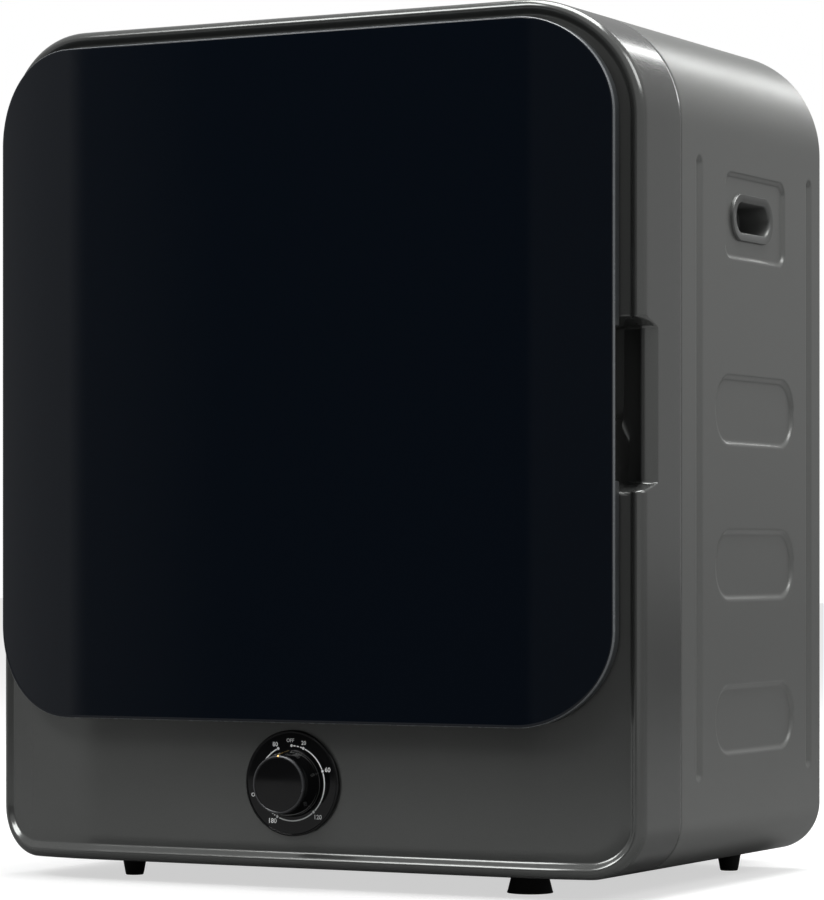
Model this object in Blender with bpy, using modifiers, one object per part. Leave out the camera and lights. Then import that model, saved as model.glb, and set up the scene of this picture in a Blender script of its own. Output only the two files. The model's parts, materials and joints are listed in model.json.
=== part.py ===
"""A compact vented tumble dryer: steel cabinet, bowed door, drum, belt drive, blower, heater and timer.

Everything is modelled in the cabinet's own coordinates, under one empty: X runs to the right, Y runs
back from the plane of the front rim, and Z runs up from the underside of the cabinet. That empty puts
the object on its feet, with the origin in the middle of its footprint. Sizes are in metres.
"""

import math

import bmesh
import bpy
from mathutils import Matrix, Vector

# ---- driving dimensions ----
WIDTH = 0.500
HEIGHT = 0.578
FOOT_HEIGHT = 0.0145
TOP_RADIUS = 0.078
BOTTOM_RADIUS = 0.035
BEZEL_END = 0.0603
WRAP_START = 0.0606
WRAP_END = 0.3084
COVER_END = 0.376
FRONT_SAG = 0.020
FRONT_CURVE = 0.090
BOW_RADIUS = (FRONT_SAG**2 + FRONT_CURVE**2) / (2 * FRONT_SAG)
DOOR_PROUD = 0.0148
KNOB_FACE = -0.0378
GAP = 0.0003
RIM_Y = -(KNOB_FACE + COVER_END) / 2

SHEET = 0.001
PLASTIC = 0.0025
HALF = WIDTH / 2
ARC_STEPS = 5
ACROSS_BREAKS = (-0.187, -0.160, -0.105, -0.050, 0, 0.050, 0.105, 0.160, 0.187)
UP_BREAKS = (0.170, 0.230, 0.285, 0.345, 0.405, 0.460)

# ---- front, with depths measured from the bowed front of the rim ----
PANEL_FRONT, PANEL_BACK = 0.0035, 0.0065
RIM_CREST, RIM_FOOT = 0.0055, 0.0100
MOUTH = 0.169
KNOB_X, KNOB_Z = -0.003, 0.058
DIAL_RADIUS = 0.036
GRIP_LOW, GRIP_HIGH = 0.257, 0.3655
GRIP_INNER, GRIP_FLOOR = 0.2215, 0.0170
CATCH_X, CATCH_Z = 0.2275, 0.400
SWITCH_X, SWITCH_Z = 0.2275, 0.450

# ---- door ----
DOOR_HALF = 0.2375
DOOR_BOTTOM, DOOR_TOP = 0.0995, 0.5645
DOOR_RADIUS = 0.064
SKIN = 0.003
FRAME_WIDTH = 0.020
FRAME_BACK = -0.0005
FRAME_CHAMFER = 0.0045
LINER_BACK = -0.002
LINER_BULGE = 0.010
HINGE_X, HINGE_Y = -0.2325, -0.014
HINGE_HEIGHTS = {"lower": 0.200, "upper": 0.462}
PIN_RADIUS, PIN_LENGTH = 0.002, 0.030
EYE_RADIUS, EYE_HALF = 0.0042, 0.005

# ---- drum ----
AXIS_Z = 0.345
DRUM_RADIUS = 0.205
DRUM_FRONT, DRUM_END = 0.050, 0.272
DRUM_WALL = 0.0012
NECK_RADIUS, NECK_END = 0.172, 0.064
COLLAR_RADIUS = 0.165
REAR_WALL = 0.2645
SHAFT_RADIUS, SHAFT_END = 0.008, 0.326
FILTER_RADIUS = 0.078
LIFTER_HEIGHT = 0.030

# ---- rear and drive ----
BACK_Y = WRAP_END + GAP
BACK_END = BACK_Y + 0.0012
MOTOR_X, MOTOR_Z = 0.135, 0.080
MOTOR_RADIUS = 0.043
ROTOR_RADIUS = 0.005
IMPELLER_RADIUS = 0.052
BLOWER_RADIUS = 0.0625
EXHAUST_X, EXHAUST_Z = -0.125, 0.0725
EXHAUST_RADIUS = 0.048
COVER_RADIUS, COVER_TAIL = 0.125, 0.068
PULLEY_RADIUS = 0.009
BELT_Y, BELT_WIDTH, BELT_THICK, BELT_LIFT = 0.098, 0.009, 0.0015, 0.0015
IDLER_RADIUS = 0.012
HEATER_Z = 0.502

# ---- side pressings, in Y and Z ----
SIDE_Y = 0.188
BEAD_SPREAD = 0.0978
BEAD_LOW, BEAD_HIGH = 0.060, 0.4817
PAD_HEIGHTS = (0.0999, 0.2058, 0.312)
PAD_LENGTH, PAD_HEIGHT = 0.138, 0.047
HOLD_Y, HOLD_Z = 0.184, 0.4455
HOLD_LENGTH, HOLD_HEIGHT = 0.070, 0.031
PRESS_DEPTH = 0.002

FIXED_FEET = {"front_left": (-0.165, 0.040), "rear_left": (-0.195, 0.270), "rear_right": (0.195, 0.270)}
LEVEL_FOOT = (0.148, 0.040)


# ---- scene, materials and collections ----
def clear_scene():
    for obj in list(bpy.data.objects):
        bpy.data.objects.remove(obj)


def collection(name):
    made = bpy.data.collections.new(name)
    bpy.context.scene.collection.children.link(made)
    return made


def material(name, colour, roughness, metallic=0.0):
    made = bpy.data.materials.new(name)
    made.use_nodes = True
    shader = made.node_tree.nodes["Principled BSDF"]
    shader.inputs["Base Color"].default_value = (*colour, 1.0)
    shader.inputs["Roughness"].default_value = roughness
    shader.inputs["Metallic"].default_value = metallic
    made.diffuse_color = (*colour, 1.0)
    return made


clear_scene()
PARTS = collection("clothes_dryer")
TOOLS = collection("cutters")

PAINT = material("grey_metallic_paint", (0.15, 0.155, 0.155), 0.35, 0.6)
BEZEL = material("grey_gloss_plastic", (0.11, 0.112, 0.112), 0.25, 0.3)
BLACK_GLOSS = material("black_gloss", (0.004, 0.005, 0.006), 0.05)
DARK = material("dark_plastic", (0.03, 0.032, 0.034), 0.5)
LIGHT = material("light_plastic", (0.55, 0.56, 0.56), 0.45)
STEEL = material("stainless_steel", (0.6, 0.6, 0.6), 0.3, 1.0)
ZINC = material("galvanised_steel", (0.45, 0.46, 0.47), 0.45, 1.0)
ALLOY = material("cast_alloy", (0.55, 0.55, 0.55), 0.5, 1.0)
RUBBER = material("black_rubber", (0.012, 0.012, 0.012), 0.8)
FELT = material("white_felt", (0.6, 0.58, 0.52), 1.0)
BRASS = material("bronze", (0.5, 0.33, 0.14), 0.4, 1.0)

CABINET = bpy.data.objects.new("cabinet_frame", None)
CABINET.location = (0, RIM_Y, FOOT_HEIGHT)
PARTS.objects.link(CABINET)


def pivot(name, location):
    """An empty on a joint's axis. The pieces that turn or slide together are its children."""
    empty = bpy.data.objects.new(name, None)
    empty.location = location
    empty.parent = CABINET
    PARTS.objects.link(empty)
    return empty


def smooth(mesh):
    mesh.shade_smooth()
    mesh.set_sharp_from_angle(angle=math.radians(32))


def place(obj, name, finish, parent=None):
    """Makes obj a part of the dryer, with its name, its material and the body that it moves with."""
    obj.name = name
    obj.data.name = name
    obj.data.materials.append(finish)
    owner = parent or CABINET
    if parent:
        obj.location = Vector(obj.location) - parent.location
    obj.parent = owner
    PARTS.objects.link(obj)
    return obj


def tool(obj, name):
    """Makes obj a cutter or a helper shape, which isn't part of the dryer."""
    obj.name = name
    obj.hide_render = True
    obj.display_type = "WIRE"
    obj.parent = CABINET
    TOOLS.objects.link(obj)
    return obj


def boolean(obj, operation, others):
    for other in others:
        step = obj.modifiers.new(f"{operation.lower()}_{other.name}", "BOOLEAN")
        step.operation = operation
        step.solver = "EXACT"
        step.object = other
    return obj


def cut(obj, *others):
    return boolean(obj, "DIFFERENCE", others)


def join(obj, *others):
    return boolean(obj, "UNION", others)


# ---- outlines: lists of 2D points, anticlockwise ----
def arc(centre, radius, start, end, steps=ARC_STEPS):
    angles = [math.radians(start + (end - start) * i / steps) for i in range(steps + 1)]
    return [(centre[0] + radius * math.cos(a), centre[1] + radius * math.sin(a)) for a in angles]


def rounded(left, right, low, high, top_radius, bottom_radius=None, steps=ARC_STEPS, breaks=False):
    """A rectangle with one radius for its upper corners and one for its lower corners.

    With breaks, its straight edges get further points, so that it can be laid on the bowed front and
    be joined to a circle.
    """
    base = top_radius if bottom_radius is None else bottom_radius
    flat = ACROSS_BREAKS if breaks else ()
    upright = [z for z in UP_BREAKS if low + base < z < high - top_radius] if breaks else []
    return (
        arc((right - base, low + base), base, 270, 360, steps)
        + [(right, z) for z in upright]
        + arc((right - top_radius, high - top_radius), top_radius, 0, 90, steps)
        + [(x, high) for x in reversed(flat) if abs(x) < right - top_radius]
        + arc((left + top_radius, high - top_radius), top_radius, 90, 180, steps)
        + [(left, z) for z in reversed(upright)]
        + arc((left + base, low + base), base, 180, 270, steps)
        + [(x, low) for x in flat if abs(x) < right - base]
    )


def bow(x):
    """How far the rim's front stands behind its end plane at x: level in the middle, bent at the ends."""
    past = max(abs(x) - (HALF - FRONT_CURVE), 0)
    return BOW_RADIUS - FRONT_SAG - math.sqrt(BOW_RADIUS**2 - past**2)


def body_outline(inset, low=None, breaks=True):
    """The cabinet's cross-section, taken in all round by inset."""
    bottom = inset if low is None else low
    return rounded(
        inset - HALF, HALF - inset, bottom, HEIGHT - inset, TOP_RADIUS - inset, BOTTOM_RADIUS - inset,
        breaks=breaks,
    )


def door_outline(inset):
    return rounded(
        inset - DOOR_HALF, DOOR_HALF - inset, DOOR_BOTTOM + inset, DOOR_TOP - inset, DOOR_RADIUS - inset,
        breaks=True,
    )


def round_like(outline, radius):
    """A circle about the drum's axis, with one point towards each point of outline."""
    bearings = [math.atan2(z - AXIS_Z, x) for x, z in outline]
    return [(radius * math.cos(a), AXIS_Z + radius * math.sin(a)) for a in bearings]


def between(first, second, share):
    return [(a + (c - a) * share, b + (d - b) * share) for (a, b), (c, d) in zip(first, second)]


def level(outline, y):
    return [(x, y, z) for x, z in outline]


def bowed(outline, depth):
    """The outline laid on the bowed front, depth behind it."""
    return [(x, bow(x) + depth, z) for x, z in outline]


def circle(radius, x=0.0, z=0.0, steps=28):
    return arc((x, z), radius, 0, 360 - 360 / steps, steps - 1)


def stadium(y, z, length, height, steps=4):
    """A rectangle with rounded ends on Y and Z, whose ends are at its shorter sides."""
    radius = min(length, height) / 2
    return rounded(y - length / 2, y + length / 2, z - height / 2, z + height / 2, radius, steps=steps)


def two_circles(first, first_radius, second, second_radius, steps=12):
    """The outline of a belt round two circles."""
    across = Vector(second) - Vector(first)
    lean = math.degrees(math.acos((first_radius - second_radius) / across.length))
    along = math.degrees(math.atan2(across.y, across.x))
    return arc(second, second_radius, along - lean, along + lean, steps) + arc(
        first, first_radius, along + lean, along + 360 - lean, 3 * steps
    )


# ---- solids ----
def mesh_object(name, mesh_builder):
    mesh = bpy.data.meshes.new(name)
    work = bmesh.new()
    mesh_builder(work)
    bmesh.ops.recalc_face_normals(work, faces=work.faces)
    work.to_mesh(mesh)
    work.free()
    smooth(mesh)
    return bpy.data.objects.new(name, mesh)


def prism(outlines, start, end):
    """A flat outline, with any holes after it, given its thickness along Y from start to end."""
    curve = bpy.data.curves.new("outline", "CURVE")
    curve.dimensions = "2D"
    curve.fill_mode = "BOTH"
    curve.extrude = (end - start) / 2
    for outline in outlines:
        spline = curve.splines.new("POLY")
        spline.points.add(len(outline) - 1)
        spline.use_cyclic_u = True
        for point, (x, z) in zip(spline.points, outline):
            point.co = (x, z, 0, 1)
    drawn = bpy.data.objects.new("outline", curve)
    bpy.context.scene.collection.objects.link(drawn)
    drawn.matrix_world = Matrix.Translation((0, (start + end) / 2, 0)) @ Matrix.Rotation(math.pi / 2, 4, "X")
    bpy.context.view_layer.update()
    mesh = bpy.data.meshes.new_from_object(drawn.evaluated_get(bpy.context.evaluated_depsgraph_get()))
    mesh.transform(drawn.matrix_world)
    bpy.data.objects.remove(drawn)
    bpy.data.curves.remove(curve)
    work = bmesh.new()
    work.from_mesh(mesh)
    bmesh.ops.remove_doubles(work, verts=work.verts, dist=1e-6)
    bmesh.ops.recalc_face_normals(work, faces=work.faces)
    work.to_mesh(mesh)
    work.free()
    smooth(mesh)
    return bpy.data.objects.new("prism", mesh)


def add_loft(work, rings, closed=False):
    """Joins rings of points, all with as many points, into one skin: capped, or closed on its first ring."""
    loops = [[work.verts.new(point) for point in ring_points] for ring_points in rings]
    pairs = list(zip(loops, loops[1:]))
    if closed:
        pairs.append((loops[-1], loops[0]))
    for lower, upper in pairs:
        for i in range(len(lower)):
            work.faces.new((lower[i - 1], lower[i], upper[i], upper[i - 1]))
    if not closed:
        work.faces.new(loops[0])
        work.faces.new(loops[-1])
    bmesh.ops.triangulate(work, faces=work.faces)


def loft(rings, closed=False):
    return mesh_object("loft", lambda work: add_loft(work, rings, closed))


def across(sections, side=1):
    """Rings for a loft along X, from (outline in Y and Z, x), on the side that side gives."""
    return [[(side * x, y, z) for y, z in outline] for outline, x in sections]


def box(left, right, front, back, low, high):
    size = (right - left, back - front, high - low)
    middle = ((left + right) / 2, (front + back) / 2, (low + high) / 2)
    shape = Matrix.Translation(middle) @ Matrix.Diagonal((*size, 1))
    return mesh_object("box", lambda work: bmesh.ops.create_cube(work, size=1, matrix=shape))


AXES = {
    "X": Matrix.Rotation(math.pi / 2, 4, "Y"),
    "Y": Matrix.Rotation(-math.pi / 2, 4, "X"),
    "Z": Matrix.Identity(4),
}


def cylinder(centre, radius, length, axis="Y", segments=24, end_radius=None):
    """A solid cylinder or cone about its centre. end_radius is at the far end of its axis."""
    other = radius if end_radius is None else end_radius

    def build(work):
        bmesh.ops.create_cone(
            work, cap_ends=True, segments=segments, radius1=radius, radius2=other, depth=length,
            matrix=AXES[axis],
        )

    made = mesh_object("cylinder", build)
    made.location = centre
    return made


def turned(profile, x, z, steps=28, axis="Y"):
    """A solid turned about a line along Y or Z at x, z. profile holds (radius, distance along it).

    A profile that meets the axis starts and ends on it. Its order is reversed where that faces it out.
    """
    area = sum(a[0] * b[1] - b[0] * a[1] for a, b in zip(profile, profile[1:] + profile[:1]))
    points = profile[::-1] if area > 0 else profile
    hollow = min(radius for radius, _ in profile) > 0
    mesh = bpy.data.meshes.new("turned")
    work = bmesh.new()
    verts = [work.verts.new((radius, 0, along)) for radius, along in points]
    for a, b in zip(verts, verts[1:] + (verts[:1] if hollow else [])):
        work.edges.new((a, b))
    work.to_mesh(mesh)
    work.free()
    made = bpy.data.objects.new("turned", mesh)
    screw = made.modifiers.new("turn", "SCREW")
    screw.axis = "Z"
    screw.steps = screw.render_steps = steps
    screw.use_smooth_shade = True
    screw.use_merge_vertices = True
    screw.merge_threshold = 1e-5
    made.location = (x, 0, z) if axis == "Y" else (x, z, 0)
    if axis == "Y":
        made.rotation_euler.x = -math.pi / 2
    return made


def ring(inner, outer, start, end):
    """The profile of a plain ring for turned()."""
    return [(inner, start), (outer, start), (outer, end), (inner, end)]


def disc(radius, start, end):
    return [(0, start), (radius, start), (radius, end), (0, end)]


# ---- cabinet ----
def cabinet_wrap():
    """The pressed steel shell: beads and pads pressed into its sides, and a flange for the rear panel."""
    rings = [
        level(body_outline(0, breaks=False), WRAP_START),
        level(body_outline(0, breaks=False), WRAP_END),
        level(body_outline(0.012, breaks=False), WRAP_END),
        level(body_outline(0.012, breaks=False), WRAP_END - SHEET),
        level(body_outline(SHEET, breaks=False), WRAP_END - SHEET),
        level(body_outline(SHEET, breaks=False), WRAP_START),
    ]
    shell = loft(rings, closed=True)
    bead = (BEAD_HIGH + BEAD_LOW) / 2, BEAD_HIGH - BEAD_LOW
    shapes = [(SIDE_Y + turn * BEAD_SPREAD, bead[0], 0.009, bead[1]) for turn in (-1, 1)]
    shapes += [(SIDE_Y, z, PAD_LENGTH, PAD_HEIGHT) for z in PAD_HEIGHTS]

    surround = (SIDE_Y - 0.052, SIDE_Y + 0.052, HOLD_Z - 0.029, HOLD_Z + 0.029)

    def bosses(work):
        left, low = surround[0] - 0.002, surround[2] - 0.002
        right, high = surround[1] + 0.002, surround[3] + 0.002
        plate = rounded(left, right, low, high, 0.010, steps=2)
        for side in (-1, 1):
            add_loft(work, across([(plate, HALF - 0.0005), (plate, HALF - PRESS_DEPTH - SHEET)], side))
            for y, z, length, height in shapes:
                wide = stadium(y, z, length + 0.004, height + 0.004, 2)
                add_loft(work, across([(wide, HALF - 0.0005), (wide, HALF - PRESS_DEPTH - SHEET)], side))

    def pockets(work):
        left, right, low, high = surround
        rim = rounded(left, right, low, high, 0.008, steps=3)
        base = rounded(left + 0.002, right - 0.002, low + 0.002, high - 0.002, 0.006, steps=3)
        for side in (-1, 1):
            add_loft(work, across([(rim, HALF + 0.001), (base, HALF - PRESS_DEPTH)], side))
            for y, z, length, height in shapes:
                top = stadium(y, z, length + 0.001, height + 0.001, 3)
                floor = stadium(y, z, length - 0.003, height - 0.003, 3)
                add_loft(work, across([(top, HALF + 0.001), (floor, HALF - PRESS_DEPTH)], side))

    def hand_holes(work):
        hole = stadium(HOLD_Y, HOLD_Z, HOLD_LENGTH - 0.003, HOLD_HEIGHT - 0.003)
        for side in (-1, 1):
            add_loft(work, across([(hole, HALF + 0.001), (hole, HALF - 0.010)], side))

    join(shell, tool(mesh_object("bosses", bosses), "side_bosses"))
    cut(shell, tool(mesh_object("pockets", pockets), "side_pockets"))
    cut(shell, tool(mesh_object("hand_holes", hand_holes), "hand_holes"))
    rear_feet = [place_ for name, place_ in FIXED_FEET.items() if name.startswith("rear")]
    for i, (x, y) in enumerate(rear_feet):
        cut(shell, tool(cylinder((x, y, 0), 0.0034, 0.02, "Z", 10), f"wrap_foot_hole_{i}"))
    place(shell, "cabinet_wrap", PAINT)


def front_bezel():
    """The bowed front moulding: rim, recessed panel, round loading mouth and finger grip."""
    rim = body_outline(RIM_FOOT)
    mouth = round_like(rim, MOUTH)
    rings = [
        level(body_outline(0), BEZEL_END),
        bowed(body_outline(0), 0.0040),
        bowed(body_outline(0.0012), 0.0012),
        bowed(body_outline(0.0035), 0.0),
        bowed(body_outline(RIM_CREST), 0.0),
        bowed(rim, PANEL_FRONT),
        bowed(between(rim, mouth, 0.35), PANEL_FRONT),
        bowed(between(rim, mouth, 0.7), PANEL_FRONT),
        level(mouth, PANEL_FRONT - FRONT_SAG),
        level(mouth, PANEL_BACK - FRONT_SAG),
        bowed(between(rim, mouth, 0.7), PANEL_BACK),
        bowed(between(rim, mouth, 0.35), PANEL_BACK),
        bowed(rim, PANEL_BACK),
        bowed(body_outline(0.003), PANEL_BACK),
        level(body_outline(0.003), BEZEL_END),
    ]
    bezel = loft(rings, closed=True)
    low, high = GRIP_LOW - 0.0065, GRIP_HIGH + 0.0065
    sections = []
    for x in (GRIP_INNER - 0.003, HALF - 0.0011):
        sections.append((rounded(bow(x) + 0.005, GRIP_FLOOR + 0.0025, low, high, 0.001, steps=1), x))
    block = loft(across(sections))
    join(bezel, tool(block, "grip_block"))
    for name, z in HINGE_HEIGHTS.items():
        for end in (-1, 1):
            boss = cylinder((HINGE_X, 0.0040, z + end * 0.016), 0.004, 0.0114, segments=12)
            join(bezel, tool(boss, f"{name}_boss_{'low' if end < 0 else 'high'}"))
        slot = box(HINGE_X - 0.0050, HINGE_X + 0.0050, -0.02, 0.009, z - 0.0058, z + 0.0058)
        cut(bezel, tool(slot, f"{name}_bracket_slot"))
    hollow = rounded(-0.06, GRIP_FLOOR, GRIP_LOW, GRIP_HIGH, 0.006)
    scoop = loft(across([(hollow, GRIP_INNER), (hollow, HALF + 0.01)]))
    cut(bezel, tool(scoop, "grip_scoop"))
    cut(bezel, tool(cylinder((KNOB_X, -0.015, KNOB_Z), 0.0045, 0.02, segments=12), "shaft_hole"))
    magnet = box(CATCH_X - 0.0053, CATCH_X + 0.0053, -0.03, 0.003, CATCH_Z - 0.0123, CATCH_Z + 0.0123)
    cut(bezel, tool(magnet, "magnet_hole"))
    cut(bezel, tool(cylinder((SWITCH_X, -0.01, SWITCH_Z), 0.0028, 0.03, segments=10), "plunger_hole"))
    for name, (x, y) in {"left": FIXED_FEET["front_left"], "right": LEVEL_FOOT}.items():
        cut(bezel, tool(cylinder((x, y, 0), 0.0034, 0.02, "Z", 10), f"front_{name}_foot_hole"))
    place(bezel, "front_bezel", BEZEL)


def front_bulkhead():
    """The steel wall behind the bezel, and the collar in it that the drum's mouth turns on."""
    hole = circle(COLLAR_RADIUS + GAP, 0, AXIS_Z, 48)
    plate = prism([body_outline(0.0035, low=0.0055, breaks=False), hole], 0.0440, 0.0452)
    place(plate, "front_bulkhead", ZINC)
    collar = turned(ring(COLLAR_RADIUS - 0.0015, COLLAR_RADIUS, -0.0132, 0.0660), 0, AXIS_Z, 48)
    place(collar, "bulkhead_collar", ZINC)


def base_plate():
    plate = box(-0.208, 0.208, 0.014, 0.304, 0.0033, 0.0050)
    for name, (x, y) in {**FIXED_FEET, "level": LEVEL_FOOT}.items():
        cut(plate, tool(cylinder((x, y, 0.004), 0.0034, 0.01, "Z", 10), f"base_hole_{name}"))
    place(plate, "base_plate", ZINC)


def rear_panel():
    """The steel back. It is open at the drum's outlet, the blower, the exhaust and the intake."""
    holes = [
        circle(0.078, 0, AXIS_Z),
        circle(0.045, MOTOR_X, MOTOR_Z, 24),
        circle(EXHAUST_RADIUS + 0.0005, EXHAUST_X, EXHAUST_Z),
        circle(0.0065, -0.190, 0.165, 12),
    ]
    holes += [
        rounded(-0.055, 0.055, z - 0.003, z + 0.003, 0.0029, steps=2) for z in (0.486, 0.497, 0.508, 0.519)
    ]
    place(prism([body_outline(-0.0007, breaks=False), *holes], BACK_Y, BACK_END), "rear_panel", ZINC)


def rear_cover():
    """The hood that leads moist air from the drum's hub down to the blower."""
    hub, tail = (0, AXIS_Z), (MOTOR_X, MOTOR_Z)

    def hood(inset, y):
        return level(two_circles(hub, COVER_RADIUS - inset, tail, COVER_TAIL - inset, 8), y)

    start = BACK_END + GAP
    wall = 0.0015
    rings = [
        hood(0.0245, COVER_END - wall),
        hood(0.0085, COVER_END - 0.010),
        hood(wall, COVER_END - 0.030),
        hood(wall, start),
        hood(0, start),
        hood(0, COVER_END - 0.030),
        hood(0.007, COVER_END - 0.010),
        hood(0.024, COVER_END),
    ]
    place(loft(rings), "rear_cover", DARK)


def feet():
    profile = [
        (0, 0.012), (0.003, 0.012), (0.003, -GAP), (0.00875, -GAP), (0.0065, -FOOT_HEIGHT), (0, -FOOT_HEIGHT),
    ]
    for name, (x, y) in FIXED_FEET.items():
        place(turned(profile, x, y, 12, "Z"), f"foot_{name}", RUBBER)
    x, y = LEVEL_FOOT
    flared = [
        (0, 0.022), (0.003, 0.022), (0.003, -0.0036), (0.013, -0.0036),
        (0.016, -0.0115), (0.016, -FOOT_HEIGHT), (0, -FOOT_HEIGHT),
    ]
    place(turned(flared, x, y, 18, "Z"), "levelling_foot", RUBBER, LEVELLER)
    nut = turned(ring(0.0036, 0.0060, -0.0033, -GAP), x, y, 6, "Z")
    place(nut, "levelling_nut", ZINC)


def side_grips():
    """The hand-holds' liners, which fill the holes from inside and end in a blind slot."""

    def hold(length, height):
        return stadium(HOLD_Y, HOLD_Z, length, height)

    flange = HALF - PRESS_DEPTH - SHEET - GAP
    step = flange - 0.0047
    sections = [
        (hold(0.0620, 0.0255), HALF - 0.0250),
        (hold(0.0620, 0.0255), step - 0.0025),
        (hold(0.0722, 0.0332), step - 0.0025),
        (hold(0.0722, 0.0332), flange - 0.0020),
        (hold(0.0840, 0.0450), flange - 0.0020),
        (hold(0.0840, 0.0450), flange),
        (hold(0.0672, 0.0282), flange),
        (hold(0.0672, 0.0282), step),
        (hold(0.0570, 0.0205), step),
        (hold(0.0570, 0.0205), HALF - 0.0230),
    ]
    for name, side in (("left", -1), ("right", 1)):
        place(loft(across(sections, side)), f"side_grip_{name}", DARK)


# ---- door ----
def door_front_panel():
    """The glossy skin, built from upright strips so that it follows the bow exactly."""
    corner = DOOR_HALF - DOOR_RADIUS
    bends = [corner + DOOR_RADIUS * math.sin(math.radians(15 * i)) for i in range(7)]
    stations = [0, 0.160, *bends]
    stations = [-x for x in reversed(stations[1:])] + stations
    rings = []
    for x in stations:
        past = max(abs(x) - corner, 0)
        drop = DOOR_RADIUS - math.sqrt(max(DOOR_RADIUS**2 - past**2, 0))
        low, high = DOOR_BOTTOM + drop, DOOR_TOP - drop
        front, back = bow(x) - DOOR_PROUD, bow(x) - DOOR_PROUD + SKIN
        soft = 0.001
        rings.append(
            [(x, back, low), (x, back, high), (x, front + soft, high), (x, front, high - soft),
             (x, front, low + soft), (x, front + soft, low)]
        )
    place(loft(rings), "door_front_panel", BLACK_GLOSS, HINGE)


def door_frame():
    """The ring behind the skin, cut away for the brackets, the strike plate and the fingers."""
    front = SKIN - DOOR_PROUD + GAP
    rings = [
        bowed(door_outline(0.0004), front),
        bowed(door_outline(0.0004), FRAME_BACK - FRAME_CHAMFER),
        bowed(door_outline(FRAME_CHAMFER), FRAME_BACK),
        bowed(door_outline(FRAME_WIDTH), FRAME_BACK),
        bowed(door_outline(FRAME_WIDTH), front),
    ]
    frame = loft(rings, closed=True)
    for name, z in HINGE_HEIGHTS.items():
        reach = EYE_HALF + 2 * GAP
        notch = box(-0.25, HINGE_X + EYE_RADIUS + 0.0008, -0.05, 0.01, z - reach, z + reach)
        cut(frame, tool(notch, f"{name}_bracket_notch"))
        bore = cylinder((HINGE_X, HINGE_Y, z), PIN_RADIUS + GAP, PIN_LENGTH + 2 * GAP, "Z", 12)
        cut(frame, tool(bore, f"{name}_pin_bore"))
    recess = box(CATCH_X - 0.0063, CATCH_X + 0.0063, -0.0150, 0.01, CATCH_Z - 0.0140, CATCH_Z + 0.0140)
    cut(frame, tool(recess, "strike_recess"))
    fingers = box(GRIP_INNER, 0.25, -0.05, 0.01, GRIP_LOW, GRIP_HIGH)
    cut(frame, tool(fingers, "finger_recess"))
    place(frame, "door_frame", DARK, HINGE)


def door_inner_panel():
    """The moulded tray that closes the drum's mouth."""
    wall = PLASTIC
    outer = door_outline(FRAME_WIDTH + GAP)
    inner = door_outline(FRAME_WIDTH + GAP + wall)
    front = SKIN - DOOR_PROUD + GAP
    flat = LINER_BACK - FRONT_SAG
    rings = [
        level(round_like(outer, 0.1475), LINER_BULGE - wall),
        level(round_like(outer, 0.1575), flat - wall),
        level(round_like(outer, 0.1745), flat - wall),
        bowed(inner, LINER_BACK - wall),
        bowed(inner, front),
        bowed(outer, front),
        bowed(outer, LINER_BACK),
        level(round_like(outer, 0.1760), flat),
        level(round_like(outer, 0.1600), flat),
        level(round_like(outer, 0.1500), LINER_BULGE),
    ]
    place(loft(rings), "door_inner_panel", DARK, HINGE)
    seal = turned(
        [(0.1650, flat + GAP), (0.1730, flat + GAP), (0.1730, flat + 0.003), (0.1700, -0.0168),
         (0.1680, -0.0168), (0.1650, flat + 0.003)],
        0, AXIS_Z, 40,
    )
    place(seal, "door_seal", RUBBER, HINGE)


def door_hardware():
    for name, z in HINGE_HEIGHTS.items():
        arm = box(
            HINGE_X - 0.0004, HINGE_X + 0.0038, HINGE_Y, 0.0110, z - EYE_HALF + GAP, z + EYE_HALF - GAP
        )
        eye = cylinder((HINGE_X, HINGE_Y, z), EYE_RADIUS, 2 * EYE_HALF, "Z", 16)
        plate = box(HINGE_X - 0.0045, HINGE_X + 0.0115, 0.0100, 0.0120, z - 0.022, z + 0.022)
        join(arm, tool(eye, f"{name}_eye"))
        join(arm, tool(plate, f"{name}_bracket_plate"))
        bore = cylinder((HINGE_X, HINGE_Y, z), PIN_RADIUS + GAP, 0.02, "Z", 12)
        cut(arm, tool(bore, f"{name}_eye_bore"))
        place(arm, f"hinge_bracket_{name}", STEEL)
        pin = cylinder((HINGE_X, HINGE_Y, z), PIN_RADIUS, PIN_LENGTH, "Z", 12)
        place(pin, f"hinge_pin_{name}", STEEL, HINGE)
    strike = box(CATCH_X - 0.006, CATCH_X + 0.006, -0.0147, -0.0132, CATCH_Z - 0.0137, CATCH_Z + 0.0137)
    place(strike, "strike_plate", STEEL, HINGE)
    magnet = box(CATCH_X - 0.005, CATCH_X + 0.005, -0.0120, 0.008, CATCH_Z - 0.012, CATCH_Z + 0.012)
    place(magnet, "magnet_catch", DARK)
    case = box(SWITCH_X - 0.006, SWITCH_X + 0.006, 0.0005, 0.022, SWITCH_Z - 0.013, SWITCH_Z + 0.013)
    cut(case, tool(cylinder((SWITCH_X, 0.002, SWITCH_Z), 0.0028, 0.024, segments=10), "switch_bore"))
    place(case, "door_switch", LIGHT)
    plunger = cylinder((SWITCH_X, 0.0011, SWITCH_Z), 0.0025, 0.0178, segments=10)
    place(plunger, "switch_plunger", DARK, PLUNGER)


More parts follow.
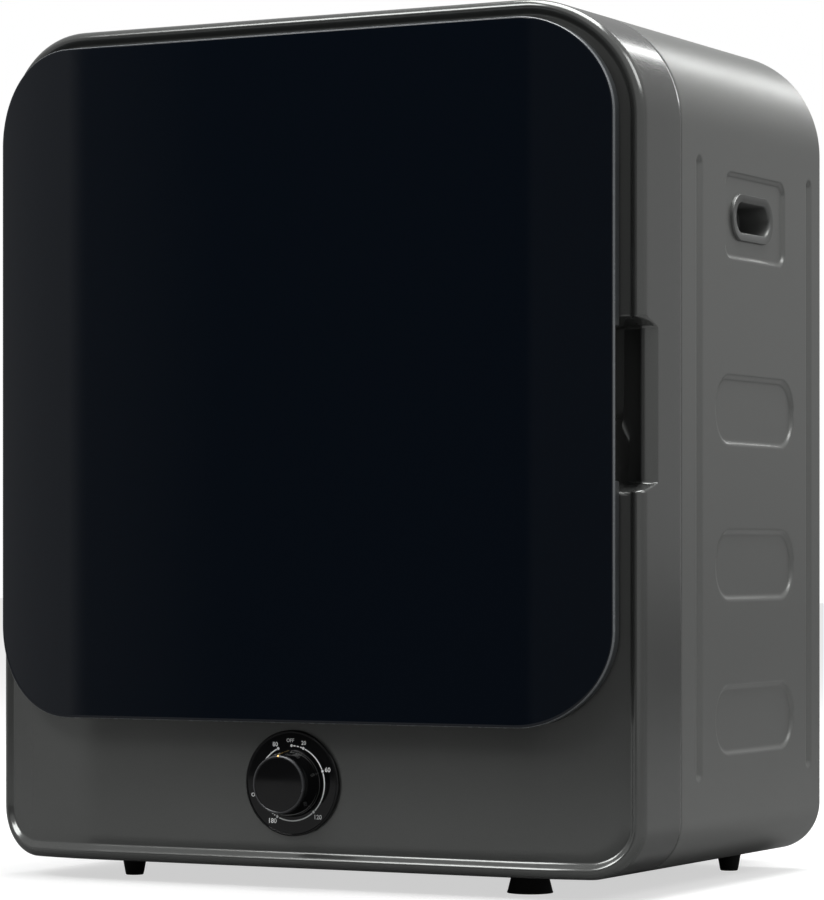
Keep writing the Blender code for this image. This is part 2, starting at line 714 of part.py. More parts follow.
# ---- drum ----
def drum():
    wall = DRUM_WALL
    shell = [
        (NECK_RADIUS, DRUM_FRONT), (0.196, DRUM_FRONT), (DRUM_RADIUS, DRUM_FRONT + 0.009),
        (DRUM_RADIUS, DRUM_END), (DRUM_RADIUS - wall, DRUM_END), (DRUM_RADIUS - wall, DRUM_FRONT + 0.0095),
        (0.1955, DRUM_FRONT + wall), (NECK_RADIUS + wall, DRUM_FRONT + wall), (NECK_RADIUS + wall, NECK_END),
        (NECK_RADIUS, NECK_END),
    ]
    place(turned(shell, 0, AXIS_Z, 40), "drum_shell", STEEL, SPIN)
    windows = []
    for i in range(3):
        start = 120 * i + 40
        windows.append(
            arc((0, AXIS_Z), 0.068, start, start + 100, 8) + arc((0, AXIS_Z), 0.033, start + 100, start, 6)
        )
    for i in range(12):
        at = math.radians(30 * i)
        windows.append(circle(0.011, 0.158 * math.cos(at), AXIS_Z + 0.158 * math.sin(at), 6))
    rear = prism([circle(DRUM_RADIUS - wall - GAP, 0, AXIS_Z, 40), *windows], REAR_WALL, REAR_WALL + 0.0015)
    place(rear, "drum_rear_wall", STEEL, SPIN)
    inner = DRUM_RADIUS - wall - 4 * GAP
    for i in range(3):
        middle = 90 + 120 * i
        reach = math.degrees(0.028 / inner)
        crest = math.degrees(0.009 / (inner - LIFTER_HEIGHT))
        outline = arc((0, AXIS_Z), inner, middle - reach, middle + reach, 6)
        outline += arc((0, AXIS_Z), inner - LIFTER_HEIGHT, middle + crest, middle - crest, 3)
        place(prism([outline], 0.078, REAR_WALL - 0.004), f"drum_lifter_{i + 1}", LIGHT, SPIN)
    hub = REAR_WALL + 0.0015 + GAP
    shaft = [
        (0, hub), (0.030, hub), (0.030, hub + 0.003), (0.014, hub + 0.005), (0.014, hub + 0.020),
        (SHAFT_RADIUS, hub + 0.022), (SHAFT_RADIUS, SHAFT_END), (0, SHAFT_END),
    ]
    place(turned(shaft, 0, AXIS_Z, 18), "drum_shaft", STEEL, SPIN)


def drum_bearings():
    place(turned(ring(0.1660, NECK_RADIUS - 0.0010, 0.052, 0.063), 0, AXIS_Z, 40), "front_drum_seal", FELT)
    place(turned(ring(0.0835, 0.0935, REAR_WALL + 0.002, 0.3000), 0, AXIS_Z, 32), "rear_air_seal", FELT)
    outer = circle(0.095, 0, AXIS_Z)
    openings = []
    for i in range(3):
        start = 120 * i + 38
        openings.append(
            arc((0, AXIS_Z), 0.075, start, start + 104, 8) + arc((0, AXIS_Z), 0.026, start + 104, start, 6)
        )
    bracket = prism([outer, circle(0.0150, 0, AXIS_Z, 24), *openings], 0.3004, BACK_Y - GAP)
    place(bracket, "bearing_bracket", ALLOY)
    place(turned(ring(SHAFT_RADIUS + GAP, 0.0147, 0.2995, 0.3095), 0, AXIS_Z, 18), "shaft_bearing", BRASS)


def lint_filter():
    """The round filter that pulls out of the drum's hub."""
    front = REAR_WALL - 0.014
    back = REAR_WALL - GAP
    frame = turned(
        [(0.071, front), (0.075, front), (FILTER_RADIUS, back), (0.074, back), (0.071, back - 0.004)],
        0, AXIS_Z, 32,
    )
    bar = box(-0.0722, 0.0722, front + 0.0004, front + 0.006, AXIS_Z - 0.005, AXIS_Z + 0.005)
    join(frame, tool(bar, "filter_bar"))
    place(frame, "lint_filter_frame", LIGHT, FILTER)
    place(turned(disc(0.0705, back - 0.0035, back - 0.0027), 0, AXIS_Z, 32), "lint_filter_mesh", ZINC, FILTER)


# ---- drive ----
def motor():
    start, end = 0.114, 0.204
    body = [
        (ROTOR_RADIUS + GAP, start), (0.018, start), (0.034, start + 0.010), (MOTOR_RADIUS, start + 0.016),
        (MOTOR_RADIUS, end - 0.016), (0.034, end - 0.010), (0.018, end), (ROTOR_RADIUS + GAP, end),
    ]
    place(turned(body, MOTOR_X, MOTOR_Z, 20), "motor_body", ALLOY)
    low = 0.0053
    foot = box(MOTOR_X - 0.050, MOTOR_X + 0.050, start + 0.02, end - 0.02, low, low + 0.002)
    saddle = box(MOTOR_X - 0.034, MOTOR_X + 0.034, start + 0.025, end - 0.025, low + 0.001, MOTOR_Z - 0.020)
    join(foot, tool(saddle, "motor_saddle"))
    hollow = cylinder((MOTOR_X, 0.16, MOTOR_Z), MOTOR_RADIUS + GAP, 0.2, segments=32)
    cut(foot, tool(hollow, "motor_hollow"))
    place(foot, "motor_bracket", ZINC)
    place(cylinder((MOTOR_X, 0.174, MOTOR_Z), ROTOR_RADIUS, 0.168, segments=16), "motor_shaft", STEEL, ROTOR)
    half = BELT_WIDTH / 2 + 0.0006
    bore = ROTOR_RADIUS + GAP
    pulley = [
        (bore, BELT_Y - half - 0.0015), (0.0125, BELT_Y - half - 0.0015), (0.0125, BELT_Y - half),
        (PULLEY_RADIUS, BELT_Y - half), (PULLEY_RADIUS, BELT_Y + half), (0.0125, BELT_Y + half),
        (0.0125, BELT_Y + half + 0.0015), (bore, BELT_Y + half + 0.0015),
    ]
    place(turned(pulley, MOTOR_X, MOTOR_Z, 18), "motor_pulley", ALLOY, ROTOR)


def drum_belt():
    hub, shaft = (0, AXIS_Z), (MOTOR_X, MOTOR_Z)
    inner = two_circles(hub, DRUM_RADIUS + BELT_LIFT, shaft, PULLEY_RADIUS + GAP, 8)
    outer = two_circles(hub, DRUM_RADIUS + BELT_LIFT + BELT_THICK, shaft, PULLEY_RADIUS + GAP + BELT_THICK, 8)
    place(prism([outer, inner], BELT_Y - BELT_WIDTH / 2, BELT_Y + BELT_WIDTH / 2), "drum_belt", RUBBER)


def belt_tensioner():
    """The wheel that bears on the belt's left run, and the arm that carries it from the base."""
    wheel_x, wheel_z = IDLER_PLACE
    half = BELT_WIDTH / 2
    bore = 0.0033
    wheel = ring(bore, IDLER_RADIUS, BELT_Y - half, BELT_Y + half)
    place(turned(wheel, wheel_x, wheel_z, 18), "idler_wheel", LIGHT, IDLER_TURN)
    pivot_x, pivot_z = TENSION_PIVOT
    start = BELT_Y + half + GAP
    arm = prism(
        [
            two_circles((pivot_x, pivot_z), 0.009, (wheel_x, wheel_z), 0.007, 8),
            circle(0.0043, pivot_x, pivot_z, 16),
        ],
        start, start + 0.003,
    )
    pin_middle = (wheel_x, (BELT_Y - half + start) / 2 + 0.001, wheel_z)
    pin = cylinder(pin_middle, 0.003, start - BELT_Y + half + 0.002)
    join(arm, tool(pin, "idler_pin"))
    place(arm, "tension_arm", ZINC, TENSION)
    stand = box(pivot_x - 0.012, pivot_x + 0.012, start + 0.0036, start + 0.0061, 0.0053, pivot_z + 0.012)
    foot = box(pivot_x - 0.012, pivot_x + 0.012, start + 0.0036, start + 0.026, 0.0053, 0.0073)
    stud = cylinder((pivot_x, start + 0.0015, pivot_z), 0.004, 0.0062, segments=16)
    join(stand, tool(foot, "stand_foot"), tool(stud, "stand_stud"))
    place(stand, "tension_stand", ZINC)


def blower():
    start = 0.2225
    back = turned(ring(ROTOR_RADIUS + GAP, IMPELLER_RADIUS, start, start + 0.002), MOTOR_X, MOTOR_Z, 24)
    vanes = []
    count = 9
    for i in range(count):
        at = 360 * i / count
        thin = math.degrees(0.0011 / IMPELLER_RADIUS)
        vanes += arc((MOTOR_X, MOTOR_Z), IMPELLER_RADIUS, at - thin, at + thin, 1)
        vanes += arc((MOTOR_X, MOTOR_Z), 0.012, at + 8, at + 360 / count - 8, 1)
    star = prism([vanes, circle(ROTOR_RADIUS + GAP, MOTOR_X, MOTOR_Z, 16)], start + 0.001, 0.258)
    join(back, tool(star, "impeller_vanes"))
    place(back, "blower_impeller", DARK, ROTOR)
    hub, outlet = (MOTOR_X, MOTOR_Z), (EXHAUST_X, EXHAUST_Z)
    wall = PLASTIC
    outer = two_circles(outlet, 0.052, hub, BLOWER_RADIUS, 7)
    inner = two_circles(outlet, 0.052 - wall, hub, BLOWER_RADIUS - wall, 7)
    case = prism([outer], 0.2165, WRAP_END - 0.0015)
    cut(case, tool(prism([inner], 0.2190, WRAP_END + 0.01), "blower_hollow"))
    cut(case, tool(cylinder((MOTOR_X, 0.22, MOTOR_Z), 0.009, 0.02), "blower_shaft_hole"))
    place(case, "blower_housing", DARK)


# ---- air and heat ----
def heater():
    front, back = 0.2780, 0.3040
    frame = box(-0.066, 0.066, front, back, HEATER_Z - 0.026, HEATER_Z + 0.026)
    cut(frame, tool(box(-0.0635, 0.0635, 0.2, 0.4, HEATER_Z - 0.0235, HEATER_Z + 0.0235), "heater_hollow"))
    place(frame, "heater_frame", LIGHT)
    fins = [rounded(-0.063, 0.063, HEATER_Z - 0.023, HEATER_Z + 0.023, 0.001, steps=1)]
    for row in range(3):
        z = HEATER_Z - 0.0145 + 0.0145 * row
        for column in range(6):
            x = -0.0525 + 0.021 * column
            fins.append(
                [(x - 0.009, z - 0.0055), (x + 0.009, z - 0.0055), (x + 0.009, z + 0.0055),
                 (x - 0.009, z + 0.0055)]
            )
    place(prism(fins, front + 0.006, back - 0.006), "ptc_heater", ALLOY)
    sensor = turned(disc(0.0085, front - 0.0035, back - 0.010), 0.080, HEATER_Z - 0.010, 16)
    place(sensor, "thermostat", BRASS)


def intake_filter():
    """The slotted cap over the intake, which pulls off to the rear."""
    start = BACK_END + GAP
    slots = [
        rounded(-0.056, 0.056, z - 0.003, z + 0.003, 0.0029, steps=2) for z in (0.486, 0.497, 0.508, 0.519)
    ]
    cap = prism([rounded(-0.068, 0.068, 0.4755, 0.5295, 0.008, steps=4), *slots], start, start + 0.006)
    place(cap, "intake_filter", DARK, INTAKE)


def exhaust_and_cable():
    wall = 0.002
    collar = [
        (EXHAUST_RADIUS - wall, WRAP_END - 0.0005), (EXHAUST_RADIUS, WRAP_END - 0.0005),
        (EXHAUST_RADIUS, BACK_END + GAP), (EXHAUST_RADIUS + 0.009, BACK_END + GAP),
        (EXHAUST_RADIUS + 0.009, BACK_END + 0.0025), (EXHAUST_RADIUS, BACK_END + 0.0025),
        (EXHAUST_RADIUS, 0.366), (EXHAUST_RADIUS - wall, 0.366),
    ]
    place(turned(collar, EXHAUST_X, EXHAUST_Z, 28), "exhaust_collar", DARK)
    gland = [
        (0.0045, BACK_Y - 0.004), (0.0062, BACK_Y - 0.004), (0.0062, BACK_END + GAP),
        (0.0110, BACK_END + GAP),
        (0.0110, BACK_END + 0.006), (0.0070, BACK_END + 0.012), (0.0045, BACK_END + 0.012),
    ]
    place(turned(gland, -0.190, 0.165, 16), "cord_gland", RUBBER)
    place(box(-0.215, -0.165, 0.270, BACK_Y - 0.0045, 0.135, 0.195), "terminal_box", LIGHT)
    place(cylinder((-0.020, 0.160, 0.0235), 0.018, 0.060, segments=24), "run_capacitor", ALLOY)


# ---- controls ----
def timer():
    panel = PANEL_FRONT - FRONT_SAG
    front = panel - 0.003
    plate = turned(
        [(0.0040, panel - GAP), (DIAL_RADIUS, panel - GAP), (DIAL_RADIUS, front + 0.0005),
         (DIAL_RADIUS - 0.0005, front), (0.0040, front)],
        KNOB_X, KNOB_Z, 32,
    )
    place(plate, "dial_plate", BLACK_GLOSS)
    base = front - GAP
    face = KNOB_FACE
    knob = [
        (0, face), (0.0188, face), (0.0198, face + 0.001), (0.0230, base), (0.0212, base),
        (0.0185, face + 0.004), (0.0060, face + 0.004), (0.0060, base), (0.0033, base),
        (0.0033, face + 0.0075), (0, face + 0.0075),
    ]
    place(turned(knob, KNOB_X, KNOB_Z, 24), "timer_knob", BLACK_GLOSS, DIAL)
    start, end = face + 0.0078, -0.0035
    shaft = cylinder((KNOB_X, (start + end) / 2, KNOB_Z), 0.003, end - start, segments=16)
    place(shaft, "timer_shaft", STEEL, DIAL)
    case_front = PANEL_BACK - FRONT_SAG + GAP
    case = box(KNOB_X - 0.022, KNOB_X + 0.022, case_front, 0.020, KNOB_Z - 0.022, KNOB_Z + 0.022)
    cut(case, tool(cylinder((KNOB_X, -0.013, KNOB_Z), 0.0033, 0.020, segments=16), "timer_bore"))
    place(case, "timer_body", LIGHT)


# ---- joint axes ----
def beside_belt():
    """The centre of a wheel that bears on the outer face of the belt's left run."""
    hub, shaft = Vector((0, AXIS_Z)), Vector((MOTOR_X, MOTOR_Z))
    across_run = shaft - hub
    lean = math.acos((DRUM_RADIUS - PULLEY_RADIUS) / across_run.length)
    bearing = math.atan2(across_run.y, across_run.x) - lean
    normal = Vector((math.cos(bearing), math.sin(bearing)))
    clear = PULLEY_RADIUS + BELT_THICK + IDLER_RADIUS + 4 * GAP
    along = Vector((-normal.y, normal.x)) * -1
    start = shaft + normal * clear
    return start + along * 0.075 if (start + along * 0.075).y > start.y else start - along * 0.075


IDLER_PLACE = tuple(beside_belt())
TENSION_PIVOT = (IDLER_PLACE[0] - 0.030, IDLER_PLACE[1] - 0.045)

HINGE = pivot("door_hinge_axis", (HINGE_X, HINGE_Y, (DOOR_BOTTOM + DOOR_TOP) / 2))
SPIN = pivot("drum_axis", (0, 0, AXIS_Z))
FILTER = pivot("lint_filter_slide", (0, REAR_WALL, AXIS_Z))
ROTOR = pivot("motor_axis", (MOTOR_X, 0, MOTOR_Z))
DIAL = pivot("timer_axis", (KNOB_X, 0, KNOB_Z))
PLUNGER = pivot("plunger_axis", (SWITCH_X, 0, SWITCH_Z))
INTAKE = pivot("intake_slide", (0, BACK_END, HEATER_Z))
LEVELLER = pivot("levelling_axis", (*LEVEL_FOOT, 0))
TENSION = pivot("tension_pivot", (TENSION_PIVOT[0], 0, TENSION_PIVOT[1]))
IDLER_TURN = pivot("idler_axis", (IDLER_PLACE[0], 0, IDLER_PLACE[1]))

cabinet_wrap()
front_bezel()
front_bulkhead()
base_plate()
rear_panel()
rear_cover()
feet()
side_grips()
door_front_panel()
door_frame()
door_inner_panel()
door_hardware()
drum()
drum_bearings()
lint_filter()
motor()
drum_belt()
belt_tensioner()
blower()
heater()
intake_filter()
exhaust_and_cable()
timer()
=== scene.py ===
"""The looks of a compact vented tumble dryer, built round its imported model.

Places are given in the cabinet's own coordinates, as in the model: X to the right, Y back from the
plane of the front rim's ends, Z up from the underside of the cabinet. at() turns them into the frame's.
"""

import json
import math

import bmesh
import bpy
import numpy as np
from mathutils import Matrix, Vector


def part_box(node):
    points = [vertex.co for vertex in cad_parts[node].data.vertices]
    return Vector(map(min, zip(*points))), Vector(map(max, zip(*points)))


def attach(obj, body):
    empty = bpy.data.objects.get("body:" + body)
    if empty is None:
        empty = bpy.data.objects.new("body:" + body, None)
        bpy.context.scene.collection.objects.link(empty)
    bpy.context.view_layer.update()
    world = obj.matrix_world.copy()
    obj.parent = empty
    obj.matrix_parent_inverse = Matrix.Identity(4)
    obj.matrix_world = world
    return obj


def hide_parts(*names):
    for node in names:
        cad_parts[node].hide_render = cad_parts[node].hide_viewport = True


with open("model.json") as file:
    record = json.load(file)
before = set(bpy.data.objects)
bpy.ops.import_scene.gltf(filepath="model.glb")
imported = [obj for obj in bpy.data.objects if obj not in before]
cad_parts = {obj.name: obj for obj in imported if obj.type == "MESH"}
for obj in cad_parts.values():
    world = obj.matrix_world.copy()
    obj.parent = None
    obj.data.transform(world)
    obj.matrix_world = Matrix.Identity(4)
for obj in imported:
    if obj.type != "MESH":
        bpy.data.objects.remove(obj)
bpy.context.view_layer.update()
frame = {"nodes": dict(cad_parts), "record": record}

# ---- sizes, from the frame where it holds them ----
wrap_low, wrap_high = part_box("cabinet_wrap")
bezel_low, bezel_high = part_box("front_bezel")
door_low, door_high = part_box("door_front_panel")
knob_low, knob_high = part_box("timer_knob")
drum_low, drum_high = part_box("drum_shell")

HALF = wrap_high.x
FLOOR = wrap_low.z
HEIGHT = wrap_high.z - wrap_low.z
TOP_RADIUS = 0.078
BOTTOM_RADIUS = 0.035
FRONT_SAG = 0.020
FRONT_CURVE = 0.090
BOW_RADIUS = (FRONT_SAG**2 + FRONT_CURVE**2) / (2 * FRONT_SAG)
RIM_Y = bezel_low.y + FRONT_SAG
BEZEL_END = bezel_high.y - RIM_Y
WRAP_START = wrap_low.y - RIM_Y
WRAP_END = wrap_high.y - RIM_Y
PANEL_DEPTH = 0.0035
MOUTH = 0.169
AXIS_Z = (drum_low.z + drum_high.z) / 2 - FLOOR
GRIP_LOW, GRIP_HIGH, GRIP_INNER = 0.257, 0.3655, 0.2215

DOOR_HALF = door_high.x
DOOR_BOTTOM, DOOR_TOP = door_low.z - FLOOR, door_high.z - FLOOR
DOOR_RADIUS = 0.064
DOOR_PROUD = -(door_low.y - RIM_Y) - FRONT_SAG
SKIN = 0.003

KNOB_X, KNOB_Z = (knob_low.x + knob_high.x) / 2, (knob_low.z + knob_high.z) / 2 - FLOOR
KNOB_FACE = knob_low.y - RIM_Y

SIDE_Y, BEAD_SPREAD = 0.188, 0.0978
BEAD_LOW, BEAD_HIGH = 0.060, 0.4817
PAD_HEIGHTS = (0.0999, 0.2058, 0.312)
PAD_LENGTH, PAD_HEIGHT = 0.138, 0.047
HOLD_Y, HOLD_Z, HOLD_LENGTH, HOLD_HEIGHT = 0.184, 0.4455, 0.0700, 0.0310


def at(x, y, z):
    return Vector((x, y + RIM_Y, z + FLOOR))


def smoothstep(low, high, value):
    t = np.clip((np.asarray(value, float) - low) / (high - low), 0, 1)
    return t * t * (3 - 2 * t)


def bow(x):
    """How far the front stands behind its end plane at x: level in the middle, bent at both ends."""
    past = np.clip(np.abs(x) - (HALF - FRONT_CURVE), 0, None)
    return BOW_RADIUS - FRONT_SAG - np.sqrt(BOW_RADIUS**2 - past**2)


# ---- materials ----
def new_material(name, colour, roughness, metallic=0.0, coat=0.0, coat_roughness=0.05, specular=0.5):
    made = bpy.data.materials.new(name)
    made.use_nodes = True
    tree = made.node_tree
    shader = tree.nodes["Principled BSDF"]
    shader.inputs["Base Color"].default_value = (*colour, 1)
    shader.inputs["Roughness"].default_value = roughness
    shader.inputs["Metallic"].default_value = metallic
    shader.inputs["Coat Weight"].default_value = coat
    shader.inputs["Coat Roughness"].default_value = coat_roughness
    shader.inputs["Specular IOR Level"].default_value = specular
    return made


def node(made, kind, **inputs):
    added = made.node_tree.nodes.new(kind)
    for name, value in inputs.items():
        added.inputs[name.replace("_", " ")].default_value = value
    return added


def link(made, source, output, target, entry):
    made.node_tree.links.new(source.outputs[output], target.inputs[entry])


def object_noise(made, scale, detail=3.0, stretch=None):
    """A noise texture on the piece's own coordinates, stretched along an axis if asked."""
    place = made.node_tree.nodes.new("ShaderNodeTexCoord")
    noise = node(made, "ShaderNodeTexNoise", Scale=scale, Detail=detail)
    if stretch:
        mapping = node(made, "ShaderNodeMapping", Scale=stretch)
        link(made, place, "Object", mapping, "Vector")
        link(made, mapping, "Vector", noise, "Vector")
    else:
        link(made, place, "Object", noise, "Vector")
    return noise


def vary_roughness(made, noise, low, high):
    spread = node(made, "ShaderNodeMapRange", To_Min=low, To_Max=high, From_Min=0.3, From_Max=0.7)
    link(made, noise, "Fac", spread, "Value")
    link(made, spread, "Result", made.node_tree.nodes["Principled BSDF"], "Roughness")


def vary_colour(made, noise, dark, light):
    ramp = made.node_tree.nodes.new("ShaderNodeValToRGB")
    ramp.color_ramp.elements[0].position = 0.35
    ramp.color_ramp.elements[1].position = 0.65
    ramp.color_ramp.elements[0].color = (*dark, 1)
    ramp.color_ramp.elements[1].color = (*light, 1)
    link(made, noise, "Fac", ramp, "Fac")
    link(made, ramp, "Color", made.node_tree.nodes["Principled BSDF"], "Base Color")


def add_bump(made, noise, strength, distance):
    bump = node(made, "ShaderNodeBump", Strength=strength, Distance=distance)
    link(made, noise, "Fac", bump, "Height")
    link(made, bump, "Normal", made.node_tree.nodes["Principled BSDF"], "Normal")


def shade(colour, factor):
    return tuple(channel * factor for channel in colour)


def metallic_paint(name, colour, roughness, metallic=0.7, flake=0.05):
    """A satin enamel with fine flakes, a faint orange peel and slow changes of gloss."""
    made = new_material(name, colour, roughness, metallic=metallic)
    flakes = object_noise(made, 2600, 2)
    vary_colour(made, flakes, shade(colour, 1 - flake), shade(colour, 1 + flake))
    vary_roughness(made, object_noise(made, 9, 4), roughness - 0.02, roughness + 0.02)
    add_bump(made, object_noise(made, 420, 3), 0.03, 0.0002)
    return made


def moulded(name, colour, roughness, grain=1400, strength=0.12):
    """A moulded plastic with a fine grain."""
    made = new_material(name, colour, roughness)
    vary_colour(made, object_noise(made, 30, 5), shade(colour, 0.92), shade(colour, 1.08))
    vary_roughness(made, object_noise(made, 60, 4), roughness - 0.05, roughness + 0.06)
    add_bump(made, object_noise(made, grain, 3), strength, 0.0002)
    return made


def gloss(name, colour):
    """A polished black sheet with barely visible waves and dust."""
    made = new_material(name, colour, 0.04, specular=0.42)
    vary_roughness(made, object_noise(made, 25, 6), 0.030, 0.060)
    add_bump(made, object_noise(made, 9, 2), 0.02, 0.0004)
    return made


def brushed(name, colour, roughness, stretch):
    """Brushed metal whose scratches run along the axis with the smallest stretch."""
    made = new_material(name, colour, roughness, metallic=1.0)
    lines = object_noise(made, 60, 6, stretch)
    vary_colour(made, lines, shade(colour, 0.88), shade(colour, 1.08))
    vary_roughness(made, lines, roughness - 0.08, roughness + 0.10)
    add_bump(made, lines, 0.10, 0.0001)
    return made


def printed(name, colour, roughness, metallic=0.0):
    """A thin printed or polished film, slightly uneven in tone and gloss."""
    made = new_material(name, colour, roughness, metallic=metallic)
    vary_colour(made, object_noise(made, 900, 3), shade(colour, 0.95), shade(colour, 1.04))
    vary_roughness(made, object_noise(made, 200, 3), roughness - 0.04, roughness + 0.05)
    add_bump(made, object_noise(made, 1500, 2), 0.05, 0.0001)
    return made


def woven(name, colour, roughness, wires=1400.0):
    """Fine metal cloth: two sets of wires that show as crossing waves."""
    made = new_material(name, colour, roughness, metallic=1.0)
    place = made.node_tree.nodes.new("ShaderNodeTexCoord")
    heights = []
    for direction in ("X", "Z"):
        wave = node(made, "ShaderNodeTexWave", Scale=wires / 6.2832, Distortion=0.0)
        wave.bands_direction = direction
        link(made, place, "Object", wave, "Vector")
        heights.append(wave)
    larger = made.node_tree.nodes.new("ShaderNodeMath")
    larger.operation = "MAXIMUM"
    made.node_tree.links.new(heights[0].outputs["Fac"], larger.inputs[0])
    made.node_tree.links.new(heights[1].outputs["Fac"], larger.inputs[1])
    ramp = made.node_tree.nodes.new("ShaderNodeValToRGB")
    ramp.color_ramp.elements[0].color = (*shade(colour, 0.06), 1)
    ramp.color_ramp.elements[1].color = (*colour, 1)
    link(made, larger, "Value", ramp, "Fac")
    link(made, ramp, "Color", made.node_tree.nodes["Principled BSDF"], "Base Color")
    bump = node(made, "ShaderNodeBump", Strength=0.4, Distance=0.0003)
    link(made, larger, "Value", bump, "Height")
    link(made, bump, "Normal", made.node_tree.nodes["Principled BSDF"], "Normal")
    return made


PAINT = metallic_paint("satin_grey_enamel", (0.215, 0.219, 0.213), 0.30)
BEZEL = metallic_paint("grey_front_plastic", (0.150, 0.154, 0.150), 0.17)
GLOSS = gloss("polished_black_door", (0.0012, 0.0034, 0.0075))
DIAL = gloss("polished_black_dial", (0.0030, 0.0032, 0.0036))
# A lighter grey for the door sheet's rounded edge and back: a painted highlight along the edge.
EDGE_HIGHLIGHT = printed("painted_edge_highlight", (0.150, 0.160, 0.168), 0.25)
DARK = moulded("dark_grey_plastic", (0.021, 0.024, 0.026), 0.42)
LIGHT = moulded("light_grey_plastic", (0.50, 0.50, 0.48), 0.45)
DARK_STEEL = metallic_paint("black_enamel", (0.025, 0.026, 0.027), 0.42, 0.2)
STAINLESS = brushed("stainless_steel", (0.55, 0.55, 0.54), 0.30, (1, 40, 1))
ZINC = brushed("galvanised_steel", (0.42, 0.43, 0.44), 0.42, (3, 3, 3))
ALLOY = brushed("cast_alloy", (0.50, 0.50, 0.50), 0.48, (6, 6, 6))
MOTOR = moulded("motor_enamel", (0.05, 0.05, 0.055), 0.5)
RUBBER = moulded("black_rubber", (0.010, 0.010, 0.010), 0.72, 900, 0.25)
FELT = moulded("wool_felt", (0.52, 0.49, 0.42), 0.95, 500, 0.8)
BRONZE = brushed("bronze", (0.45, 0.28, 0.12), 0.38, (4, 4, 4))
PRINT = printed("white_print", (0.92, 0.93, 0.93), 0.45)
GOLD = printed("gold_mark", (0.75, 0.48, 0.16), 0.28, 0.8)
KNOB_RING = printed("knob_ring", (0.055, 0.056, 0.060), 0.25, 0.2)
KNOB_BLACK = gloss("knob_black", (0.0035, 0.0036, 0.0040))
BEZEL_SATIN = metallic_paint("grey_liner_plastic", (0.170, 0.174, 0.170), 0.42)
GAUZE = woven("steel_gauze", (0.40, 0.40, 0.39), 0.40)
SLOTS = {
    "paint": PAINT, "bezel": BEZEL, "black_gloss": DIAL, "dark_plastic": DARK, "light_plastic": LIGHT,
    "dark_steel": DARK_STEEL, "stainless": STAINLESS, "galvanised": ZINC, "alloy": ALLOY,
    "motor_case": MOTOR, "rubber": RUBBER, "felt": FELT, "bronze": BRONZE,
}


def dress_cad_nodes():
    slot_of = {part["node"]: part["material_slot"] for part in frame["record"]["subparts"]}
    for name, obj in frame["nodes"].items():
        obj.data.materials.clear()
        obj.data.materials.append(SLOTS[slot_of[name]])


# ---- pieces ----
def piece(obj, name, body, finish, replaces=()):
    """Makes obj a visible piece: its name, finish, the body it rides on and the nodes it stands for."""
    obj.name = name
    obj.data.name = name
    if not obj.data.materials:
        obj.data.materials.append(finish)
    if obj.name not in bpy.context.scene.collection.all_objects:
        bpy.context.scene.collection.objects.link(obj)
    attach(obj, body)
    if replaces:
        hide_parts(*replaces)
    return obj


def mesh_from(verts, faces, angle=35):
    mesh = bpy.data.meshes.new("piece")
    mesh.from_pydata([tuple(v) for v in verts], [], [tuple(f) for f in faces])
    return welded(mesh, angle)


def welded(mesh, angle=35):
    """An object of mesh, with doubled points merged, normals made to agree and sharp edges marked."""
    work = bmesh.new()
    work.from_mesh(mesh)
    bmesh.ops.remove_doubles(work, verts=work.verts, dist=1e-6)
    bmesh.ops.recalc_face_normals(work, faces=work.faces)
    work.to_mesh(mesh)
    work.free()
    mesh.shade_smooth()
    mesh.set_sharp_from_angle(angle=math.radians(angle))
    return bpy.data.objects.new("piece", mesh)


def skin(rings, closed=False, end_cap=False, angle=35):
    """Joins rings of points, given in cabinet coordinates, into one surface of quads."""
    rings = np.asarray(rings, float) + np.array([0, RIM_Y, FLOOR])
    rows, columns = rings.shape[:2]
    index = np.arange(rows * columns).reshape(rows, columns)
    upper = np.roll(index, -1, axis=0) if closed else index[1:]
    lower = index if closed else index[:-1]
    quads = np.stack([lower, np.roll(lower, -1, 1), np.roll(upper, -1, 1), upper], -1).reshape(-1, 4)
    faces = [tuple(quad) for quad in quads.tolist()]
    if end_cap:
        faces.append(tuple(index[-1].tolist()))
    return mesh_from(rings.reshape(-1, 3).tolist(), faces, angle)


def fillet(points, radius, steps=5, closed=False):
    """Rounds the corners of a 2D line. radius is one number, or one for each point."""
    count = len(points)
    radii = [radius] * count if isinstance(radius, (int, float)) else list(radius)
    result = []
    for i, point in enumerate(points):
        here = Vector(point)
        if not closed and i in (0, count - 1) or radii[i] == 0:
            result.append(tuple(here))
            continue
        before = Vector(points[i - 1]) - here
        after = Vector(points[(i + 1) % count]) - here
        angle = before.angle(after)
        if angle > math.radians(176):
            result.append(tuple(here))
            continue
        reach = min(radii[i] / math.tan(angle / 2), before.length * 0.48, after.length * 0.48)
        start = here + before.normalized() * reach
        end = here + after.normalized() * reach
        for k in range(steps + 1):
            t = k / steps
            result.append(tuple(start * (1 - t) ** 2 + here * 2 * t * (1 - t) + end * t * t))
    return result


def turned(profile, x, z, steps=96, axis="Y", soft=0.0006, closed=False, angle=35):
    """A surface turned about a line along Y (or Z) at x, z, from (radius, distance along the line)."""
    line = np.array(fillet(profile, soft, closed=closed) if soft else profile)
    turn = np.linspace(0, 2 * math.pi, steps, endpoint=False)
    radius, along = line[:, 0][:, None], line[:, 1][:, None]
    first, second = radius * np.cos(turn), radius * np.sin(turn)
    held = np.broadcast_to(along, first.shape)
    if axis == "Y":
        rings = np.stack([first + x, held, second + z], -1)
    else:
        rings = np.stack([first + x, second + z, held], -1)
    return skin(rings, closed=closed, angle=angle)


